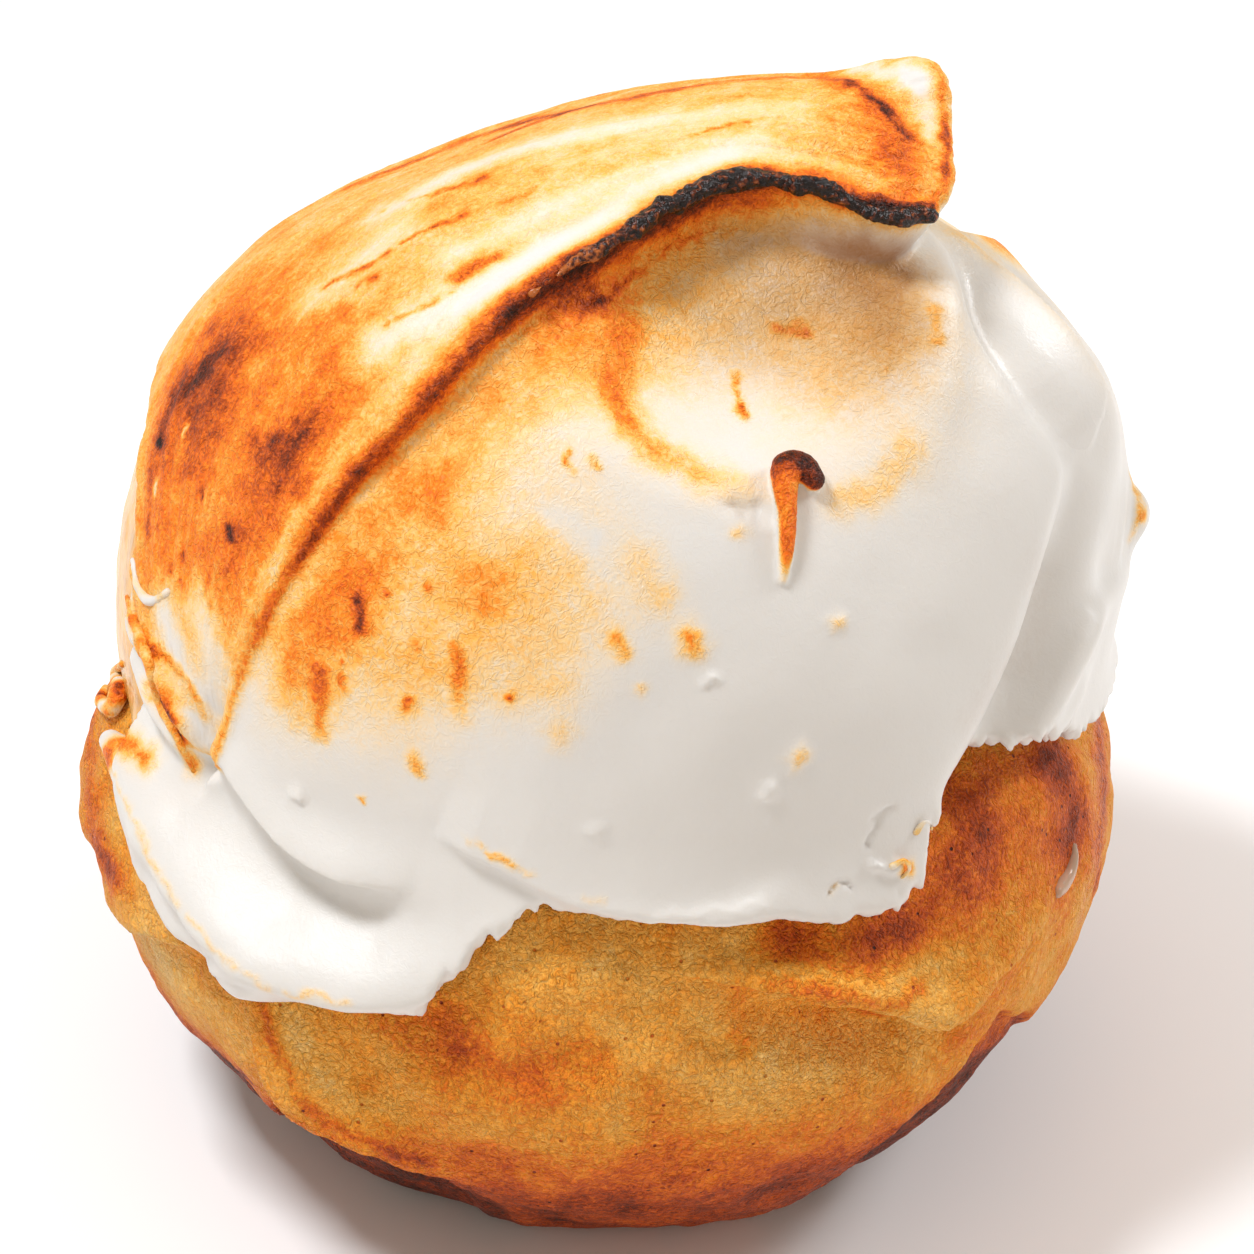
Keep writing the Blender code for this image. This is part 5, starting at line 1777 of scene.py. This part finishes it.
    def roughened(self, made: bpy.types.Object, points: Array, canvas: Canvas, values: dict) -> Array:
        """Points moved out or in by the finest marks: drag lines, bubbles, wrinkles and cracks.

        Args:
            made: The object.
            points: Its points.
            canvas: Its surface.
            values: Browning and run of the spatula.

        Returns:
            The moved points.
        """
        run = np.stack([values["along"], values["across"], 0 * values["along"]], 1)
        height = self.drag_height * values["drag"] * layered(run, self.drag_layers)
        size, strength = self.lumps
        lumps = strength * Noise(Seed.FOAM_LUMPS).at(points, size)
        size, strength = self.grain
        height += lumps + strength * values["toast"] * Noise(Seed.TOASTED_GRAIN).at(points, size)
        size, strength = self.wrinkle_bends
        bends = np.array([0.0, strength, 0.0]) * Noise(Seed.WRINKLE_BENDS).at(points, size)[:, None]
        size, strength = self.wrinkle_grain
        wrinkles = Noise(Seed.WRINKLES).at(run + bends, self.wrinkle_size)
        wrinkles = wrinkles + strength * Noise(Seed.WRINKLE_GRAIN).at(points, size)
        height += self.wrinkle_height * (canvas.laid(self.wrinkle_marks) * values["drag"]) * wrinkles
        height += canvas.laid(self.relief_marks)
        spread = step(self.outer(points), *self.outside)
        return points + read_normals(made) * (height * spread)[:, None]

    def build(self, view: Viewpoint) -> bpy.types.Object:
        """Mesh, roughen and finish the meringue.

        Args:
            view: The camera, to place the marks.

        Returns:
            The object.
        """
        points, quads = self.mesher.mesh(self.shape, self.low, self.high)
        made = make_object("torched_meringue", points, quads)
        points = thin(made, self.outer(points) < self.inner_depth, self.inner_keep)
        unseen = (points[:, 1] > self.back_from) & (self.outer(points) > self.back_depth)
        points = thin(made, unseen, self.back_keep)
        canvas = Canvas(view, made)
        values = self.toast(points, canvas)
        write_points(made, self.roughened(made, points, canvas, values))
        write_values(made, **values)
        made.data.materials.append(ToastedMeringue().make())
        return made


@dataclass
class LemonFilling:
    """Mound of curd on the crust, bare at the left."""

    meringue: Meringue
    low: tuple[float, float, float] = (-44.0, -44.0, 28.0)
    high: tuple[float, float, float] = (44.0, 44.0, 68.0)
    mesher: Mesher = Mesher(0.5)
    bare_side: float = 178.0
    hidden_from: float = 45.0
    hidden_keep: float = 0.1
    shown_over: Pair = (40.0, 30.0)
    ripple: Pair = (3.0, 0.12)

    def shape(self, points: Array) -> Array:
        """Field of the mound with the crust taken out of it."""
        hollow = self.meringue.gap - self.meringue.crust.shape(points)
        return smooth_max(self.meringue.mound(points), hollow, self.meringue.seam_rounding)

    def from_bare(self, points: Array) -> Array:
        """Degrees round from the middle of the bare side."""
        return np.abs(angles(points, np.array(self.meringue.heart))[0] - self.bare_side)

    def build(self) -> bpy.types.Object:
        """Mesh and finish the filling."""
        points, quads = self.mesher.mesh(self.shape, self.low, self.high)
        made = make_object("lemon_curd", points, quads)
        points = thin(made, self.from_bare(points) > self.hidden_from, self.hidden_keep)
        size, strength = self.ripple
        ripple = strength * Noise(Seed.FILLING_RIPPLE).at(points, size)
        ripple = ripple * step(self.from_bare(points), *self.shown_over)
        write_points(made, points + read_normals(made) * ripple[:, None])
        made.data.materials.append(LemonCurd().make())
        return made


@dataclass
class CharredLip:
    """Crust of burnt sugar along the raised lip."""

    meringue: Meringue
    start: float = 0.5
    pieces: int = 104
    radii: tuple = (0.02, 0.25, 0.45, 0.62, 0.76, 0.78, 0.66, 0.6, 0.72, 0.55)
    height: float = -0.45
    bubbles: Pair = (0.9, 0.26)
    lumps: Pair = (2.0, 0.4)
    margin: float = 2.5
    char_over: Pair = (0.0, 0.4)
    mesher: Mesher = Mesher(0.18)

    def build(self) -> bpy.types.Object:
        """Mesh and finish the charred lip."""
        lip = smooth_path(self.meringue.lip, self.pieces + 1)[int(self.start * self.pieces):]
        radii = np.interp(np.linspace(0, 1, len(lip)), np.linspace(0, 1, len(self.radii)), self.radii)
        rows = np.column_stack([lip, radii, np.full(len(lip), self.height)])
        path = self.meringue.on_surface(rows, self.meringue.face)
        bubbles, lumps = Noise(Seed.CHAR_BUBBLES), Noise(Seed.CHAR_LUMPS)

        def shape(points: Array) -> Array:
            """Strand with bubbles and gaps."""
            rough = self.bubbles[1] * np.abs(bubbles.at(points, self.bubbles[0]))
            return strand(points, path) - (rough + self.lumps[1] * lumps.at(points, self.lumps[0]))

        low, high = path[:, :3].min(0) - self.margin, path[:, :3].max(0) + self.margin
        made = make_object("charred_lip", *self.mesher.mesh(shape, low, high))
        _, place = along_path(read_points(made), path[:, :3])
        write_values(made, char=step(place, *self.char_over))
        made.data.materials.append(BurntSugar().make())
        return made


@dataclass
class Scrap:
    """Thin torn bit of meringue skin: its turns are pixels, radius and lift off the surface."""

    name: str
    turns: tuple
    toast: float
    mottle: float = 0.3
    mottle_size: float = 1.2
    search: int = 60
    search_step: int = 3
    flakes: Pair = (1.3, 0.12)
    margin: float = 2.0
    mesher: Mesher = Mesher(0.14)

    def build(self, view: Viewpoint, canvas: Canvas) -> bpy.types.Object:
        """Mesh and finish the scrap.

        Args:
            view: The camera, to place its turns.
            canvas: Surface that it lies on.

        Returns:
            The object.
        """
        rows = []
        for x, y, radius, lift in self.turns:
            tries = (canvas.land([(x + right, y)]) for right in range(0, self.search, self.search_step))
            landed = next(found for found in tries if len(found))
            rows.append((*(landed[0, :3] - lift * view.forward), radius))
        path = smooth_path(rows, 5 * len(rows))
        skin, (size, strength) = Noise(Seed.SCRAP_FLAKES), self.flakes

        def shape(points: Array) -> Array:
            """Strand with a flaky skin."""
            return strand(points, path) + strength * skin.at(points, size)

        low, high = path[:, :3].min(0) - self.margin, path[:, :3].max(0) + self.margin
        made = make_object(self.name, *self.mesher.mesh(shape, low, high))
        points = read_points(made)
        zero = np.zeros(len(points))
        mottle = self.mottle * Noise(Seed.SCRAP_MOTTLE).at(points, self.mottle_size)
        # Scraps carry no painted shade
        write_values(made, toast=np.clip(self.toast + mottle, 0, 1), drag=zero, along=zero, across=zero,
                     wet=zero, tan=zero)
        made.data.materials.append(bpy.data.materials["toasted_meringue"])
        return made


@dataclass
class SyrupBead:
    """Drop of syrup that ran down the crust at the right."""

    run: tuple = ((1074, 846, 0.25), (1073, 858, 0.45), (1068, 874, 0.6), (1060, 886, 0.7), (1057, 892, 0.5))
    margin: float = 1.6
    mesher: Mesher = Mesher(0.14)

    def build(self, canvas: Canvas) -> bpy.types.Object:
        """Mesh and finish the drop.

        Args:
            canvas: Surface of the crust.

        Returns:
            The object.
        """
        path = smooth_path([(*canvas.land([(x, y)])[0, :3], radius) for x, y, radius in self.run], 25)
        low, high = path[:, :3].min(0) - self.margin, path[:, :3].max(0) + self.margin
        made = make_object("syrup_bead", *self.mesher.mesh(lambda points: strand(points, path), low, high))
        made.data.materials.append(Syrup().make())
        return made


SCRAPS = (
    Scrap("clinging_crumb", (
        (99, 664, 0.25, 0.3), (112, 672, 0.5, 0.8), (121, 688, 0.75, 1.2), (114, 708, 0.7, 1.1),
        (102, 700, 0.5, 0.7), (104, 688, 0.35, 1.0)), 0.36, 0.5),
    Scrap("torn_strand_left", (
        (127, 597, 0.2, 0.0), (133, 620, 0.34, 0.0), (143, 645, 0.42, -0.1), (151, 668, 0.46, -0.15),
        (160, 700, 0.5, -0.2), (175, 730, 0.46, -0.2), (194, 770, 0.3, -0.2)), 0.46, 0.16),
    Scrap("torn_strand_back", (
        (133, 560, 0.25, 0.0), (139, 588, 0.36, 0.0), (152, 601, 0.42, -0.1), (168, 592, 0.3, -0.1)), 0.1),
    Scrap("frayed_thread_upper", (
        (916, 832, 0.22, 0.0), (924, 822, 0.15, 0.5), (930, 824, 0.1, 0.6), (932, 834, 0.06, 0.2)), 0.12),
    Scrap("frayed_thread_lower", (
        (893, 866, 0.3, 0.0), (903, 860, 0.2, 0.5), (909, 868, 0.14, 0.5), (902, 878, 0.1, 0.1)), 0.3),
)


# Studio


@dataclass(frozen=True)
class Studio:
    """Plain pale floor and soft light."""

    floor_colour: str = "#FBFAF9"
    sky_colour: str = "#FFF3E7"
    floor_half: float = 1.2
    floor_roughness: float = 0.9
    lit: tuple[float, float, float] = (0.0, 0.0, 0.045)
    # Name, place, size, power and colour of each
    lamps: tuple = (
        ("key", (-0.22, -0.08, 0.54), 0.12, 2.65, "#F6FAFF"),
        ("rim", (0.4, 0.14, 0.34), 0.14, 1.3, "#F6FAFF"),
        ("front", (0.06, -0.5, 0.3), 0.3, 0.22, "#FFE8CC"),
    )
    sky: float = 0.47

    def floor(self) -> bpy.types.Object:
        """Wide flat floor."""
        half = self.floor_half / MILLIMETRE
        corners = np.array([(-half, -half, 0), (half, -half, 0), (half, half, 0), (-half, half, 0)], float)
        made = make_object("floor", corners, np.array([[0, 1, 2, 3]]))
        made.data.materials.append(Graph("studio_floor").finish({
            "Base Color": linear(self.floor_colour), "Roughness": self.floor_roughness}))
        return made

    def light(self, name: str, place: tuple[float, float, float], size: float, power: float,
              colour: str) -> None:
        """Square soft light that points at the pie.

        Args:
            name: Its name.
            place: Where it stands, in metres.
            size: Its side, in metres.
            power: Its power, in watts.
            colour: Its colour.
        """
        data = bpy.data.lights.new(name, "AREA")
        data.energy = power
        data.color = linear(colour)[:3]
        data.size = size
        lamp = bpy.data.objects.new(name, data)
        lamp.location = place
        towards = Vector(self.lit) - Vector(place)
        lamp.rotation_euler = towards.to_track_quat("-Z", "Y").to_euler()
        bpy.context.scene.collection.objects.link(lamp)

    def build(self) -> None:
        """Floor, lights and sky."""
        self.floor()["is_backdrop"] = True
        for lamp in self.lamps:
            self.light(*lamp)
        world = bpy.data.worlds.new("sky")
        world.use_nodes = True
        background = world.node_tree.nodes["Background"]
        background.inputs["Color"].default_value = linear(self.sky_colour)
        background.inputs["Strength"].default_value = self.sky
        bpy.context.scene.world = world
        bpy.context.scene.view_settings.view_transform = "Standard"


def keep(made: bpy.types.Object, slot: Slot, node: Slot | None = None) -> None:
    """Tie a piece to the part, and report it.

    Args:
        made: The piece.
        slot: Material slot that it would take; not used.
        node: Node that it stands for, if it does.
    """
    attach(made, "root")
    if node is not None:
        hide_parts(node.value)
    log.info("%s: %d faces", made.name, len(made.data.polygons))


def main() -> None:
    """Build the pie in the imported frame, then the studio round it."""
    logging.basicConfig(level=logging.INFO, format="%(relativeCreated)6d ms  %(message)s")
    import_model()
    solid_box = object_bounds()
    view = Viewpoint()
    view.make()
    crust = Crust()
    pastry = crust.build(view)
    keep(pastry, Slot.CRUST, Slot.CRUST)
    meringue = Meringue(crust)
    log.info("meringue drawn")
    topping = meringue.build(view)
    keep(topping, Slot.MERINGUE, Slot.MERINGUE)
    filling = LemonFilling(meringue).build()
    keep(filling, Slot.FILLING, Slot.FILLING)
    keep(CharredLip(meringue).build(), Slot.MERINGUE)
    whole = Canvas(view, pastry, topping, filling)
    for scrap in SCRAPS:
        keep(scrap.build(view, whole), Slot.MERINGUE)
    keep(SyrupBead().build(whole), Slot.MERINGUE)
    Studio().build()
    [[list(corner) for corner in box] for box in (solid_box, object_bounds())]


if __name__ == "__main__":
    main()
